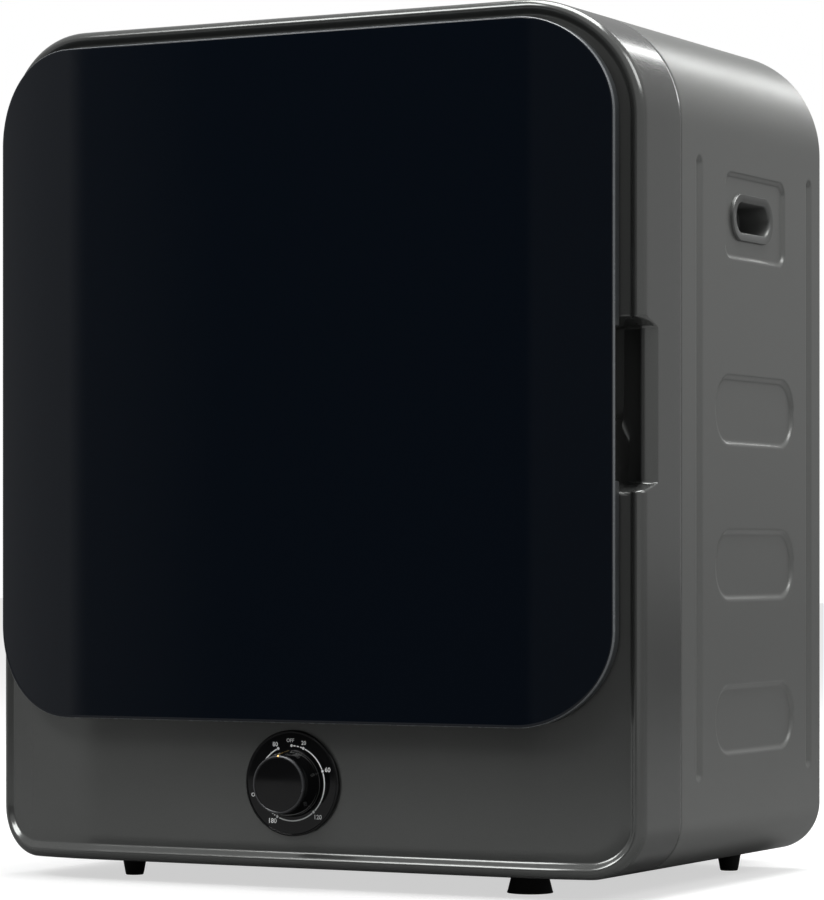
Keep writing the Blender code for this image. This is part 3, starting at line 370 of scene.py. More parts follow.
def superpose(name, *objects):
    """Joins several meshes into one object."""
    work = bmesh.new()
    materials = []
    for obj in objects:
        start = len(work.faces)
        copy = obj.data.copy()
        copy.transform(obj.matrix_basis)
        work.from_mesh(copy)
        work.faces.ensure_lookup_table()
        for material in obj.data.materials:
            if material not in materials:
                materials.append(material)
        for face in work.faces[start:]:
            if obj.data.materials:
                face.material_index = materials.index(obj.data.materials[face.material_index])
        bpy.data.objects.remove(obj)
    mesh = bpy.data.meshes.new(name)
    work.to_mesh(mesh)
    work.free()
    for material in materials:
        mesh.materials.append(material)
    return bpy.data.objects.new(name, mesh)


# ---- outlines on X and Z ----
CORNER_STEPS = 28


def loop(left, right, low, high, top_radii, bottom_radii, across=(), up=()):
    """A rounded rectangle. Each radius is (along X, along Z); across and up add points on its straights."""

    def corner(cx, cz, radii, start):
        turn = np.radians(np.linspace(start, start + 90, CORNER_STEPS + 1))
        return np.stack([cx + radii[0] * np.cos(turn), cz + radii[1] * np.sin(turn)], -1)

    top_x, top_z = top_radii
    base_x, base_z = bottom_radii
    across_top = np.array([x for x in across if left + top_x + 0.001 < x < right - top_x - 0.001])
    across_low = np.array([x for x in across if left + base_x + 0.001 < x < right - base_x - 0.001])
    upright = np.array([z for z in up if low + base_z + 0.001 < z < high - top_z - 0.001])
    runs = [
        corner(right - base_x, low + base_z, bottom_radii, 270),
        np.stack([np.full(len(upright), right), upright], -1),
        corner(right - top_x, high - top_z, top_radii, 0),
        np.stack([across_top[::-1], np.full(len(across_top), high)], -1),
        corner(left + top_x, high - top_z, top_radii, 90),
        np.stack([np.full(len(upright), left), upright[::-1]], -1),
        corner(left + base_x, low + base_z, bottom_radii, 180),
        np.stack([across_low, np.full(len(across_low), low)], -1),
    ]
    return np.concatenate(runs)


ACROSS = np.concatenate(
    [np.linspace(-0.244, -0.152, 20), np.linspace(-0.141, 0.141, 15), np.linspace(0.152, 0.244, 20)]
)
GRIP_STATIONS = np.concatenate([np.linspace(end - 0.008, end + 0.008, 21) for end in (GRIP_LOW, GRIP_HIGH)])
UP = np.unique(np.round(np.concatenate([np.linspace(0.04, 0.49, 37), GRIP_STATIONS]), 5))


def body_loop(side, base=None, top=None, up=UP):
    """The cabinet's cross-section, taken in by side at the sides and by base and top at the ends."""
    base = side if base is None else base
    top = side if top is None else top
    return loop(
        side - HALF, HALF - side, base, HEIGHT - top,
        (TOP_RADIUS - side, TOP_RADIUS - top), (BOTTOM_RADIUS - side, BOTTOM_RADIUS - base), ACROSS, up,
    )


def door_loop(inset):
    radii = (DOOR_RADIUS - inset, DOOR_RADIUS - inset)
    return loop(
        inset - DOOR_HALF, DOOR_HALF - inset, DOOR_BOTTOM + inset, DOOR_TOP - inset, radii, radii, ACROSS, UP
    )


def level(outline, y):
    return np.stack([outline[:, 0], np.full(len(outline), y), outline[:, 1]], -1)


def bowed(outline, depth):
    return np.stack([outline[:, 0], bow(outline[:, 0]) + depth, outline[:, 1]], -1)


def round_like(outline, radius, z=AXIS_Z, x=0.0):
    bearing = np.arctan2(outline[:, 1] - z, outline[:, 0] - x)
    return np.stack([x + radius * np.cos(bearing), z + radius * np.sin(bearing)], -1)


# ---- cabinet ----
def rounded_box_distance(u, v, half_u, half_v, radius):
    """Signed distance from a rectangle with rounded corners, negative inside."""
    du = np.abs(u) - half_u + radius
    dv = np.abs(v) - half_v + radius
    outside = np.hypot(np.clip(du, 0, None), np.clip(dv, 0, None))
    return outside + np.clip(np.maximum(du, dv), None, 0) - radius


def press_depth(y, z):
    """How far the sides are pressed in at y, z: two beads, three pads and the hand-hold's surround."""
    depth = np.zeros(np.broadcast(y, z).shape)
    bead_z, bead_half = (BEAD_LOW + BEAD_HIGH) / 2, (BEAD_HIGH - BEAD_LOW) / 2
    for turn in (-1, 1):
        away = rounded_box_distance(y - SIDE_Y - turn * BEAD_SPREAD, z - bead_z, 0.0052, bead_half, 0.0052)
        depth = np.maximum(depth, 0.0021 * smoothstep(0.0006, -0.0050, away))
    half = PAD_HEIGHT / 2
    for pad_z in PAD_HEIGHTS:
        away = rounded_box_distance(y - SIDE_Y, z - pad_z, PAD_LENGTH / 2, half, half - 0.001)
        depth = np.maximum(depth, 0.0020 * smoothstep(0.0006, -0.0024, away))
    away = rounded_box_distance(y - SIDE_Y, z - HOLD_Z, 0.0525, 0.0292, 0.009)
    depth = np.maximum(depth, 0.0020 * smoothstep(0.0006, -0.0024, away))
    return depth


def hole_distance(y, z):
    return rounded_box_distance(y - HOLD_Y, z - HOLD_Z, HOLD_LENGTH / 2, HOLD_HEIGHT / 2, HOLD_HEIGHT / 2)


def cabinet_wrap():
    """The pressed steel shell as one dense sheet, with the hand-holds' edges folded in."""
    fine = np.linspace(BEAD_LOW - 0.012, BEAD_HIGH + 0.010, 400)
    outline = body_loop(0, up=fine)
    flat = np.abs(outline[:, 0]) > HALF - 1e-6
    ends = [WRAP_START, WRAP_START + 0.0006, WRAP_START + 0.0014, WRAP_END - 0.0008, WRAP_END]
    stations = np.unique(np.concatenate([np.linspace(WRAP_START + 0.0025, WRAP_END - 0.002, 170), ends]))
    rings = []
    for y in stations:
        end = min(y - WRAP_START, WRAP_END - y)
        inset = 0.0012 * (1 - math.sqrt(max(0, 1 - (1 - min(end / 0.0014, 1)) ** 2)))
        section = body_loop(inset, up=fine)
        depth = np.where(flat, press_depth(y, outline[:, 1]), 0)
        section[:, 0] -= np.sign(section[:, 0]) * depth
        rings.append(level(section, y))
    back_fold = ((0.0022, WRAP_END - 0.0001), (0.0120, WRAP_END))
    front_fold = ((0.0030, WRAP_START + 0.0120), (0.0016, WRAP_START + 0.0004))
    inner = [level(body_loop(inset, up=fine), y) for inset, y in back_fold]
    front = [level(body_loop(inset, up=fine), y) for inset, y in front_fold]
    obj = skin(front + rings + inner)
    work = bmesh.new()
    work.from_mesh(obj.data)
    centre = Vector((0, RIM_Y, FLOOR))
    doomed = []
    for face in work.faces:
        middle = face.calc_center_median() - centre
        if abs(middle.x) > HALF - 0.004 and hole_distance(middle.y, middle.z) < 0:
            doomed.append(face)
    bmesh.ops.delete(work, geom=doomed, context="FACES")
    for edge in [e for e in work.edges if e.is_boundary]:
        for vert in edge.verts:
            place = vert.co - centre
            if abs(place.x) > HALF - 0.004 and abs(hole_distance(place.y, place.z)) < 0.004:
                pull_to_stadium(vert, centre, HOLD_LENGTH / 2, HOLD_HEIGHT / 2)
    work.to_mesh(obj.data)
    work.free()
    obj.data.shade_smooth()
    lips = [hand_hold_lip(side) for side in (-1, 1)]
    shell = superpose("cabinet_shell", obj, *lips)
    piece(shell, "cabinet_shell", "cabinet", PAINT, ["cabinet_wrap"])


def pull_to_stadium(vert, centre, half_length, radius):
    """Moves a vertex on the cut edge onto the outline of the hand-hold."""
    y, z = vert.co.y - centre.y - HOLD_Y, vert.co.z - centre.z - HOLD_Z
    core = max(-(half_length - radius), min(half_length - radius, y))
    way = Vector((y - core, z))
    if way.length > 1e-6:
        way = way.normalized() * radius
    vert.co.y = centre.y + HOLD_Y + core + way.x
    vert.co.z = centre.z + HOLD_Z + way.y


def stadium_ring(length, height, x, side, steps=32):
    radius = height / 2
    reach = length / 2 - radius
    turn = np.linspace(-math.pi / 2, math.pi / 2, steps)
    right = np.stack([HOLD_Y + reach + radius * np.cos(turn), HOLD_Z + radius * np.sin(turn)], -1)
    left = np.stack([HOLD_Y - reach - radius * np.cos(turn), HOLD_Z - radius * np.sin(turn)], -1)
    outline = np.concatenate([right, left])
    return np.stack([np.full(len(outline), side * x), outline[:, 0], outline[:, 1]], -1)


def hand_hold_lip(side):
    """The steel folded in round a hand-hold."""
    face = HALF - 0.0020
    line = [(HOLD_LENGTH + 0.0006, face), (HOLD_LENGTH - 0.0008, face - 0.0003),
            (HOLD_LENGTH - 0.0018, face - 0.0012), (HOLD_LENGTH - 0.0020, face - 0.0034)]
    rings = [stadium_ring(length, length - HOLD_LENGTH + HOLD_HEIGHT, x, side) for length, x in line]
    lip = skin(rings)
    lip.data.materials.append(PAINT)
    return lip


def side_grips():
    """The moulded liners, whose rims stand out through the hand-holds."""
    line = [
        (0.0716, 0.0326, HALF - 0.0021), (0.0714, 0.0324, HALF - 0.0006), (0.0706, 0.0316, HALF + 0.0001),
        (0.0604, 0.0226, HALF + 0.0001), (0.0592, 0.0214, HALF - 0.0003), (0.0582, 0.0204, HALF - 0.0016),
        (0.0566, 0.0196, HALF - 0.0225), (0.0550, 0.0184, HALF - 0.0230), (0.0400, 0.0040, HALF - 0.0230),
    ]
    for name, side in (("left", -1), ("right", 1)):
        rings = [stadium_ring(length, height, x, side) for length, height, x in line]
        liner = skin(rings, end_cap=True, angle=50)
        piece(liner, f"hand_hold_liner_{name}", "cabinet", BEZEL_SATIN, [f"side_grip_{name}"])


def grip_floor(rings):
    """Scoops the finger grip out of the right of the front, with rounded ends and inner edges."""
    x, y, z = rings[..., 0], rings[..., 1], rings[..., 2]
    ease = 0.0035
    ends = smoothstep(GRIP_LOW - ease, GRIP_LOW + ease, z) * smoothstep(GRIP_HIGH + ease, GRIP_HIGH - ease, z)
    share = ends * smoothstep(GRIP_INNER - 0.001, GRIP_INNER + 0.002, x)
    lip = 0.0145 + 0.0080 * np.clip((x - 0.2415) / 0.0085, 0, 1) ** 1.8
    floor = lip + 0.012 * smoothstep(0.2412, 0.2375, x)
    y += share * np.clip(floor - y, 0, None)
    return rings


def front_bezel():
    """The bowed front: rounded rim, recessed panel, round mouth and the finger grip."""
    line = [(0.0, 0.0075), (0.0, 0.0060)]
    for k in range(1, 9):
        turn = math.radians(90 * k / 8)
        line.append((0.0050 * (1 - math.cos(turn)), 0.0060 - 0.0060 * math.sin(turn)))
    line += [(0.0056, 0.0001), (0.0062, 0.0004), (0.0070, 0.0010), (0.0082, 0.0021), (0.0090, 0.0028),
             (0.0096, 0.0032), (0.0101, 0.0034), (0.0108, PANEL_DEPTH)]
    rings = [level(body_loop(0.0030, 0.0030), BEZEL_END - 0.004), level(body_loop(0.0012, 0.0012), BEZEL_END)]
    rings += [level(body_loop(0.0005, 0.0005), BEZEL_END), level(body_loop(0, 0), BEZEL_END - 0.0006)]
    side = body_loop(0, 0)
    for share in np.linspace(0.04, 0.98, 14):
        y = (BEZEL_END - 0.0006) * (1 - share) + (bow(side[:, 0]) + 0.0075) * share
        rings.append(np.stack([side[:, 0], y, side[:, 1]], -1))
    for inset, depth in line:
        rings.append(bowed(body_loop(inset * 0.93, inset * 1.12, inset), depth))
    rim = body_loop(0.0108 * 0.93, 0.0108 * 1.12, 0.0108)
    mouth = round_like(rim, MOUTH + 0.002)
    for share in np.linspace(0.04, 1, 16):
        rings.append(bowed(rim + (mouth - rim) * share, PANEL_DEPTH))
    for radius, y in ((MOUTH + 0.0008, 0.0038), (MOUTH, 0.0046), (MOUTH, 0.0065)):
        rings.append(level(round_like(rim, radius), y - FRONT_SAG))
    rings = grip_floor(np.array(rings))
    shell = skin(rings, angle=50)
    piece(shell, "front_moulding", "cabinet", BEZEL, ["front_bezel"])


# ---- door ----
def door_skin():
    """The polished door sheet, its rounded edge and back in a lighter grey that is a painted highlight."""
    front = -DOOR_PROUD
    outer = [(0.0004, SKIN), (0.0, SKIN - 0.0003), (0.0, 0.0012)]
    turns = np.linspace(0, math.pi / 2, 6)
    rounded_edge = [(0.0012 * (1 - math.cos(t)), 0.0012 * (1 - math.sin(t))) for t in turns]
    rings = [bowed(door_loop(inset), front + depth) for inset, depth in outer + rounded_edge[1:]]
    last = door_loop(0.0012)
    centre = np.array([0.0, (DOOR_BOTTOM + DOOR_TOP) / 2])
    for share in np.concatenate([[0.006], np.linspace(0.02, 0.995, 60)]):
        rings.append(bowed(last + (centre - last) * share, front))
    sheet = skin(rings, end_cap=True, angle=60)
    back = skin([bowed(door_loop(inset), front + SKIN) for inset in (0.0004, 0.0225)])
    back.data.materials.append(EDGE_HIGHLIGHT)
    sheet.data.materials.append(GLOSS)
    sheet.data.materials.append(EDGE_HIGHLIGHT)
    # Faces within 0.6 mm of the outline take the lighter grey: the painted edge highlight.
    for face in sheet.data.polygons:
        middle = face.center
        distance = rounded_box_distance(
            middle.x, middle.z - FLOOR - centre[1], DOOR_HALF, (DOOR_TOP - DOOR_BOTTOM) / 2, DOOR_RADIUS
        )
        face.material_index = 1 if distance > -0.0006 else 0
    whole = superpose("door_sheet", sheet, back)
    piece(whole, "door_sheet", "door", GLOSS, ["door_front_panel"])


def door_frame():
    """The dark ring behind the sheet, with the finger recess."""
    front = SKIN - DOOR_PROUD + 0.0002
    line = fillet(
        [(0.0225, front + 0.0020), (0.0205, front), (0.0004, front), (0.0004, -0.0046), (0.0045, -0.0005),
         (0.0200, -0.0005), (0.0200, front + 0.0020)], [0, 0.0008, 0.0004, 0.002, 0.002, 0.0008, 0], 4,
    )
    rings = np.array([bowed(door_loop(inset), depth) for inset, depth in line])
    x, z = rings[..., 0], rings[..., 2]
    low, high = GRIP_LOW + 0.0045, GRIP_HIGH - 0.0045
    ends = smoothstep(low - 0.0007, low + 0.0007, z) * smoothstep(high + 0.0007, high - 0.0007, z)
    x -= ends * np.clip(x - GRIP_INNER, 0, None)
    piece(skin(rings, angle=40), "door_rim_moulding", "door", DARK, ["door_frame"])


def door_inner_panel():
    """The moulded tray that closes the drum's mouth, ribbed round its edge."""
    outer = door_loop(0.0203)
    flat = -0.002 - FRONT_SAG
    start, target = door_loop(0.0215), round_like(outer, 0.1760)
    rings = [bowed(outer, SKIN - DOOR_PROUD + 0.0003), bowed(outer, -0.0032), bowed(start, -0.0020)]
    for share in np.linspace(0.1, 1, 8):
        ring = start + (target - start) * share
        y = (bow(start[:, 0]) - 0.0020) * (1 - share) + flat * share
        rings.append(np.stack([ring[:, 0], y, ring[:, 1]], -1))
    profile = fillet(
        [(0.1760, flat), (0.1605, flat), (0.1520, 0.0085), (0.1480, 0.0100), (0.1360, 0.0100),
         (0.1330, 0.0070), (0.1250, 0.0060), (0.0600, 0.0035), (0.0, 0.0030)],
        [0, 0.003, 0.004, 0.003, 0.002, 0.003, 0.01, 0.02, 0], 6,
    )
    for radius, y in profile[1:]:
        rings.append(level(round_like(outer, max(radius, 0.0005)), y))
    piece(skin(rings, angle=50), "door_tray", "door", DARK, ["door_inner_panel"])


def door_seal():
    flat = -0.002 - FRONT_SAG
    lip = [(0.1650, flat + 0.0003), (0.1730, flat + 0.0003), (0.1732, flat + 0.0028), (0.1716, -0.0176),
           (0.1694, -0.0168), (0.1678, -0.0176), (0.1664, flat + 0.0030), (0.1650, flat + 0.0024)]
    gasket = turned(lip, 0, AXIS_Z, 160, soft=0.0006, closed=True)
    piece(gasket, "door_gasket", "door", RUBBER, ["door_seal"])


# ---- dial ----
def dial_plate():
    back = PANEL_DEPTH - FRONT_SAG
    front = back - 0.0030
    plate = turned(
        [(0.036, back - 0.0003), (0.036, front + 0.0006), (0.0354, front), (0.0348, front),
         (0.0344, front + 0.0004), (0.0340, front + 0.0004), (0.0332, front + 0.0004),
         (0.0040, front + 0.0004)],
        KNOB_X, KNOB_Z, 128, soft=0.0003,
    )
    plate.data.materials.append(DIAL)
    piece(plate, "dial_disc", "cabinet", DIAL, ["dial_plate"])
    face = front + 0.0004 - 0.00015
    marks = [arc_mark(face, start, end) for start, end in
             ((3, 7), (9, 13), (15, 18.5), (24, 67), (73, 135), (141, 202), (297, 333))]
    marks += [dot(face, angle, 0.0010) for angle in (0, 21, 70, 138, 206, 253, 336)]
    marks += [dot(face, angle, 0.00055) for angle in (211, 215, 218.5, 221.5)]
    labels = [("OFF", 358, 0.0290, 0.0034), ("20", 19, 0.0290, 0.0038), ("60", 71, 0.0296, 0.0044),
              ("120", 138, 0.0303, 0.0042), ("180", 210, 0.0300, 0.0046), ("OFF", 253, 0.0296, 0.0036),
              ("80", 334, 0.0290, 0.0042)]
    marks += [label(text, face, angle, radius, size) for text, angle, radius, size in labels]
    print_layer = superpose("dial_print", *marks)
    piece(print_layer, "dial_print", "cabinet", PRINT)


def on_dial(angle, radius):
    turn = math.radians(angle)
    return KNOB_X + radius * math.sin(turn), KNOB_Z + radius * math.cos(turn)


def arc_mark(y, start, end, radius=0.0255, width=0.0009):
    angles = np.linspace(start, end, max(3, int((end - start) / 2) + 2))
    inner = [on_dial(a, radius - width / 2) for a in angles]
    outer = [on_dial(a, radius + width / 2) for a in angles]
    return flat_strip(inner, outer, y)


def flat_strip(inner, outer, y):
    verts = [at(x, y, z) for x, z in inner + outer]
    count = len(inner)
    faces = [(i, i + 1, count + i + 1, count + i) for i in range(count - 1)]
    obj = mesh_from(verts, faces)
    obj.data.materials.append(PRINT)
    return obj


def dot(y, angle, size):
    x, z = on_dial(angle, 0.0255)
    turns = np.linspace(0, 2 * math.pi, 14)[:-1]
    verts = [at(x + size * math.cos(t), y, z + size * math.sin(t)) for t in turns]
    obj = mesh_from(verts, [tuple(range(len(verts)))])
    obj.data.materials.append(PRINT)
    return obj


def label(text, y, angle, radius, size):
    """A word or number printed flat on the dial."""
    curve = bpy.data.curves.new("label", "FONT")
    curve.body = text
    curve.size = size
    curve.align_x = "CENTER"
    curve.align_y = "CENTER"
    curve.offset = size * 0.02
    curve.resolution_u = 3
    writing = bpy.data.objects.new("label", curve)
    bpy.context.scene.collection.objects.link(writing)
    bpy.context.view_layer.update()
    mesh = bpy.data.meshes.new_from_object(writing.evaluated_get(bpy.context.evaluated_depsgraph_get()))
    bpy.data.objects.remove(writing)
    x, z = on_dial(angle, radius)
    mesh.transform(Matrix.Translation(at(x, y, z)) @ Matrix.Rotation(math.pi / 2, 4, "X"))
    mesh.materials.clear()
    mesh.materials.append(PRINT)
    return bpy.data.objects.new("label", mesh)


def timer_knob():
    """A tapered knob with a polished cap, a bright ring round its face and a gold mark."""
    base = PANEL_DEPTH - FRONT_SAG - 0.0033
    face = KNOB_FACE
    body = turned(
        [(0.0, face + 0.0004), (0.0168, face + 0.0004), (0.0178, face + 0.0004), (0.0182, face + 0.0004),
         (0.0188, face), (0.0198, face + 0.0006), (0.0204, face + 0.0030),
         (0.0222, base - 0.0030), (0.0230, base - 0.0004), (0.0226, base), (0.0210, base),
         (0.0190, face + 0.004)],
        KNOB_X, KNOB_Z, 128, soft=0.0004,
    )
    body.data.materials.append(KNOB_BLACK)
    ring = turned(
        [(0.0183, face + 0.00045), (0.0187, face - 0.00012), (0.0196, face + 0.00035),
         (0.0200, face + 0.0012)],
        KNOB_X, KNOB_Z, 128, soft=0.0002,
    )
    ring.data.materials.append(KNOB_RING)
    mark = []
    down_the_side = [(0.0186, face - 0.0002), (0.0197, face + 0.0003), (0.0206, face + 0.0030),
                     (0.0223, base - 0.0030)]
    for radius, y in down_the_side:
        for sweep in (-1.6, 1.6):
            x, z = on_dial(sweep, radius + 0.00015)
            mark.append(at(x, y, z))
    pointer = mesh_from(mark, [(0, 1, 3, 2), (2, 3, 5, 4), (4, 5, 7, 6)])
    pointer.data.materials.append(GOLD)
    knob = superpose("knob", body, ring, pointer)
    piece(knob, "control_knob", "knob", KNOB_BLACK, ["timer_knob"])


# ---- feet ----
def feet():
    foot = [(0.0, -0.0003), (0.0082, -0.0003), (0.00875, -0.0010), (0.0068, -0.0120), (0.0066, -0.0128),
            (0.0062, -0.0145), (0.0, -0.0145)]
    for name in ("front_left", "rear_left", "rear_right"):
        low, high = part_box(f"foot_{name}")
        x, y = (low.x + high.x) / 2, (low.y + high.y) / 2 - RIM_Y
        shape = turned(foot, x, y, 48, "Z", 0.0008)
        piece(shape, f"rubber_foot_{name}", "cabinet", RUBBER, [f"foot_{name}"])
    low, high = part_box("levelling_foot")
    x, y = (low.x + high.x) / 2, (low.y + high.y) / 2 - RIM_Y
    flared = [(0.0, 0.0200), (0.0029, 0.0200), (0.0029, -0.0036), (0.0125, -0.0036), (0.0130, -0.0042),
              (0.0152, -0.0130), (0.0158, -0.0145), (0.0, -0.0145)]
    shape = turned(flared, x, y, 64, "Z", 0.0008)
    piece(shape, "screw_foot", "levelling_screw", RUBBER, ["levelling_foot"])


# ---- back ----
MOTOR_X, MOTOR_Z = 0.135, 0.080
EXHAUST_X, EXHAUST_Z, EXHAUST_RADIUS = -0.125, 0.0725, 0.048
GLAND_X, GLAND_Z = -0.190, 0.165
BACK_Y = WRAP_END + 0.0003
BACK_FACE = BACK_Y + 0.0015
COVER_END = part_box("rear_cover")[1].y - RIM_Y
SLOT_HEIGHTS = (0.486, 0.497, 0.508, 0.519)


def circle(radius, x, z, steps=96):
    turn = np.linspace(0, 2 * math.pi, steps, endpoint=False)
    return np.stack([x + radius * np.cos(turn), z + radius * np.sin(turn)], -1)


def arc(radius, start, end, steps=40):
    turn = np.radians(np.linspace(start, end, steps))
    return np.stack([radius * np.cos(turn), AXIS_Z + radius * np.sin(turn)], -1)


def slot_outline(left, right, z, half, steps=10):
    turn = np.linspace(-math.pi / 2, math.pi / 2, steps)
    end = np.stack([right - half + half * np.cos(turn), z + half * np.sin(turn)], -1)
    start = np.stack([left + half - half * np.cos(turn), z - half * np.sin(turn)], -1)
    return np.concatenate([end, start])


def plate(outlines, front, thickness, soft=0.0003):
    """A flat sheet cut to the first outline, with the others as holes and its edges chamfered."""
    curve = bpy.data.curves.new("plate", "CURVE")
    curve.dimensions = "2D"
    curve.fill_mode = "BOTH"
    curve.extrude = thickness / 2 - soft
    curve.bevel_depth = soft
    curve.bevel_resolution = 0
    curve.offset = -soft
    for outline in outlines:
        spline = curve.splines.new("POLY")
        spline.points.add(len(outline) - 1)
        spline.points.foreach_set("co", [v for x, z in outline for v in (x, z, 0, 1)])
        spline.use_cyclic_u = True
    guide = bpy.data.objects.new("plate", curve)
    bpy.context.scene.collection.objects.link(guide)
    bpy.context.view_layer.update()
    mesh = bpy.data.meshes.new_from_object(guide.evaluated_get(bpy.context.evaluated_depsgraph_get()))
    bpy.data.objects.remove(guide)
    middle = at(0, front + thickness / 2, 0)
    mesh.transform(Matrix.Translation(middle) @ Matrix.Rotation(math.pi / 2, 4, "X"))
    return welded(mesh)


def screw(x, z, y):
    """A hexagon washer screw whose head stands back from y."""
    edge = [(0.0, y + 0.0011), (0.0048, y + 0.0011), (0.0052, y), (0.0050, y - 0.0002)]
    washer = turned(edge, x, z, 32, soft=0.0002)
    rings = [level(circle(radius, x, z, 6), y + rise) for radius, rise in
             ((0.0036, 0.0010), (0.0036, 0.0030), (0.0032, 0.0035), (0.0010, 0.0035))]
    head = skin(rings, end_cap=True, angle=20)
    made = superpose("screw", washer, head)
    made.data.materials.append(ZINC)
    return made


def pressed_rib(x, low, high, y, half=0.006, rise=0.0018):
    """A shallow upright rib pressed out of the back."""
    rings = []
    slope = ((-0.0015, -0.05), (0, 0.02), (0.0010, 0.20), (0.0022, 0.70), (0.0032, 0.95), (0.0042, 1.0))
    for inset, share in slope:
        outline = slot_outline(low + inset, high - inset, 0, half - inset)
        height = np.full(len(outline), y + rise * share)
        rings.append(np.stack([x + outline[:, 1], height, outline[:, 0]], -1))
    rib = skin(rings, end_cap=True)
    rib.data.materials.append(DARK_STEEL)
    return rib


def rear_panel():
    holes = [circle(EXHAUST_RADIUS + 0.0005, EXHAUST_X, EXHAUST_Z), circle(0.0065, GLAND_X, GLAND_Z, 32)]
    holes += [circle(0.078, 0, AXIS_Z), circle(0.045, MOTOR_X, MOTOR_Z)]
    holes += [slot_outline(-0.055, 0.055, z, 0.003) for z in SLOT_HEIGHTS]
    edge = 0.0012
    top, base = (TOP_RADIUS, TOP_RADIUS), (BOTTOM_RADIUS, BOTTOM_RADIUS)
    outline = loop(edge - HALF, HALF - edge, edge, HEIGHT - edge, top, base)
    sheet = plate([outline, *holes], BACK_Y, BACK_FACE - BACK_Y)
    sheet.data.materials.append(DARK_STEEL)
    spots = [(0.238, 0.060), (0.238, 0.200), (0.238, 0.340), (0.238, 0.470), (0.170, 0.563), (0.195, 0.014)]
    screws = [screw(side * x, z, BACK_FACE) for side in (-1, 1) for x, z in spots]
    ribs = [pressed_rib(side * 0.195, 0.230, 0.450, BACK_FACE) for side in (-1, 1)]
    whole = superpose("back_sheet", sheet, *ribs, *screws)
    piece(whole, "back_sheet", "cabinet", DARK_STEEL, ["rear_panel"])


def hood_outline(inset, y, steps=72):
    """The outline round the hub's and the motor's circles, taken in by inset."""
    hub, tail = 0.125 - inset, 0.068 - inset
    run, rise = MOTOR_X, MOTOR_Z - AXIS_Z
    bearing = math.atan2(rise, run)
    lean = math.acos((hub - tail) / math.hypot(run, rise))
    wide = np.linspace(bearing + lean, bearing - lean + 2 * math.pi, steps)
    narrow = np.linspace(bearing - lean, bearing + lean, steps)
    depth = np.full(steps, y)
    first = np.stack([hub * np.cos(wide), depth, AXIS_Z + hub * np.sin(wide)], -1)
    second = np.stack([MOTOR_X + tail * np.cos(narrow), depth, MOTOR_Z + tail * np.sin(narrow)], -1)
    return np.concatenate([first, second])


def rear_hood():
    base = BACK_FACE + 0.0003
    line = fillet(
        [(-0.0040, base - 0.0003), (-0.0040, base + 0.0016), (0.0, base + 0.0016), (0.0, COVER_END - 0.030),
         (0.0070, COVER_END - 0.0100), (0.0240, COVER_END), (0.0300, COVER_END), (0.0315, COVER_END - 0.0012),
         (0.0345, COVER_END - 0.0012), (0.0360, COVER_END), (0.0640, COVER_END)],
        [0, 0.0006, 0.0010, 0.012, 0.010, 0.008, 0.0008, 0.0008, 0.0008, 0.0008, 0], 7,
    )
    shell = skin([hood_outline(inset, y) for inset, y in line], end_cap=True, angle=40)
    shell.data.materials.append(DARK)
    ears = []
    spots = [(0, AXIS_Z, 0.1305, turn) for turn in (100, 165, 215)]
    spots += [(MOTOR_X, MOTOR_Z, 0.0735, turn) for turn in (-120, -40, 20)]
    for x, z, radius, turn in spots:
        ear_x = x + radius * math.cos(math.radians(turn))
        ear_z = z + radius * math.sin(math.radians(turn))
        side = [(0.0082, base - 0.0003), (0.0080, base + 0.0018), (0.0, base + 0.0018)]
        ear = turned(side, ear_x, ear_z, 40)
        ear.data.materials.append(DARK)
        ears += [ear, screw(ear_x, ear_z, base + 0.0018)]
    whole = superpose("rear_hood", shell, *ears)
    piece(whole, "rear_hood", "cabinet", DARK, ["rear_cover"])


def exhaust_and_gland():
    outer, inner = EXHAUST_RADIUS, EXHAUST_RADIUS - 0.002
    base, end = BACK_FACE + 0.0002, 0.366
    collar = turned(
        [(inner, WRAP_END - 0.0005), (outer, WRAP_END - 0.0005), (outer, base), (outer + 0.009, base),
         (outer + 0.009, base + 0.0022), (outer + 0.0012, base + 0.0026), (outer, base + 0.0050),
         (outer, 0.3440), (outer + 0.0014, 0.3455), (outer + 0.0014, 0.3475), (outer, 0.3490),
         (outer, end), (inner, end)],
        EXHAUST_X, EXHAUST_Z, 128, soft=0.0006, closed=True,
    )
    collar.data.materials.append(DARK)
    screws = [
        screw(EXHAUST_X + 0.0528 * math.cos(turn), EXHAUST_Z + 0.0528 * math.sin(turn), base + 0.0022)
        for turn in np.radians([45, 135, 225, 315])
    ]
    whole = superpose("exhaust_spigot", collar, *screws)
    piece(whole, "exhaust_spigot", "cabinet", DARK, ["exhaust_collar"])
    gland = turned(
        [(0.0045, BACK_Y - 0.004), (0.0062, BACK_Y - 0.004), (0.0062, BACK_FACE), (0.0110, BACK_FACE),
         (0.0110, BACK_FACE + 0.0057), (0.0092, BACK_FACE + 0.0070), (0.0086, BACK_FACE + 0.0080),
         (0.0080, BACK_FACE + 0.0092), (0.0070, BACK_FACE + 0.0117), (0.0045, BACK_FACE + 0.0117)],
        GLAND_X, GLAND_Z, 64, soft=0.0006, closed=True,
    )
    piece(gland, "cord_bush", "cabinet", RUBBER, ["cord_gland"])


def intake_cap():
    start = BACK_FACE + 0.0001
    outline = loop(-0.068, 0.068, 0.4755, 0.5295, (0.008, 0.008), (0.008, 0.008))
    slots = [slot_outline(-0.056, 0.056, z, 0.003) for z in SLOT_HEIGHTS]
    piece(plate([outline, *slots], start, 0.006, 0.0010), "intake_grille", "intake_cap", DARK,
          ["intake_filter"])


# ---- drum ----
DRUM_RADIUS, DRUM_FRONT, DRUM_END, REAR_WALL = 0.205, 0.050, 0.272, 0.2645
NECK = 0.172


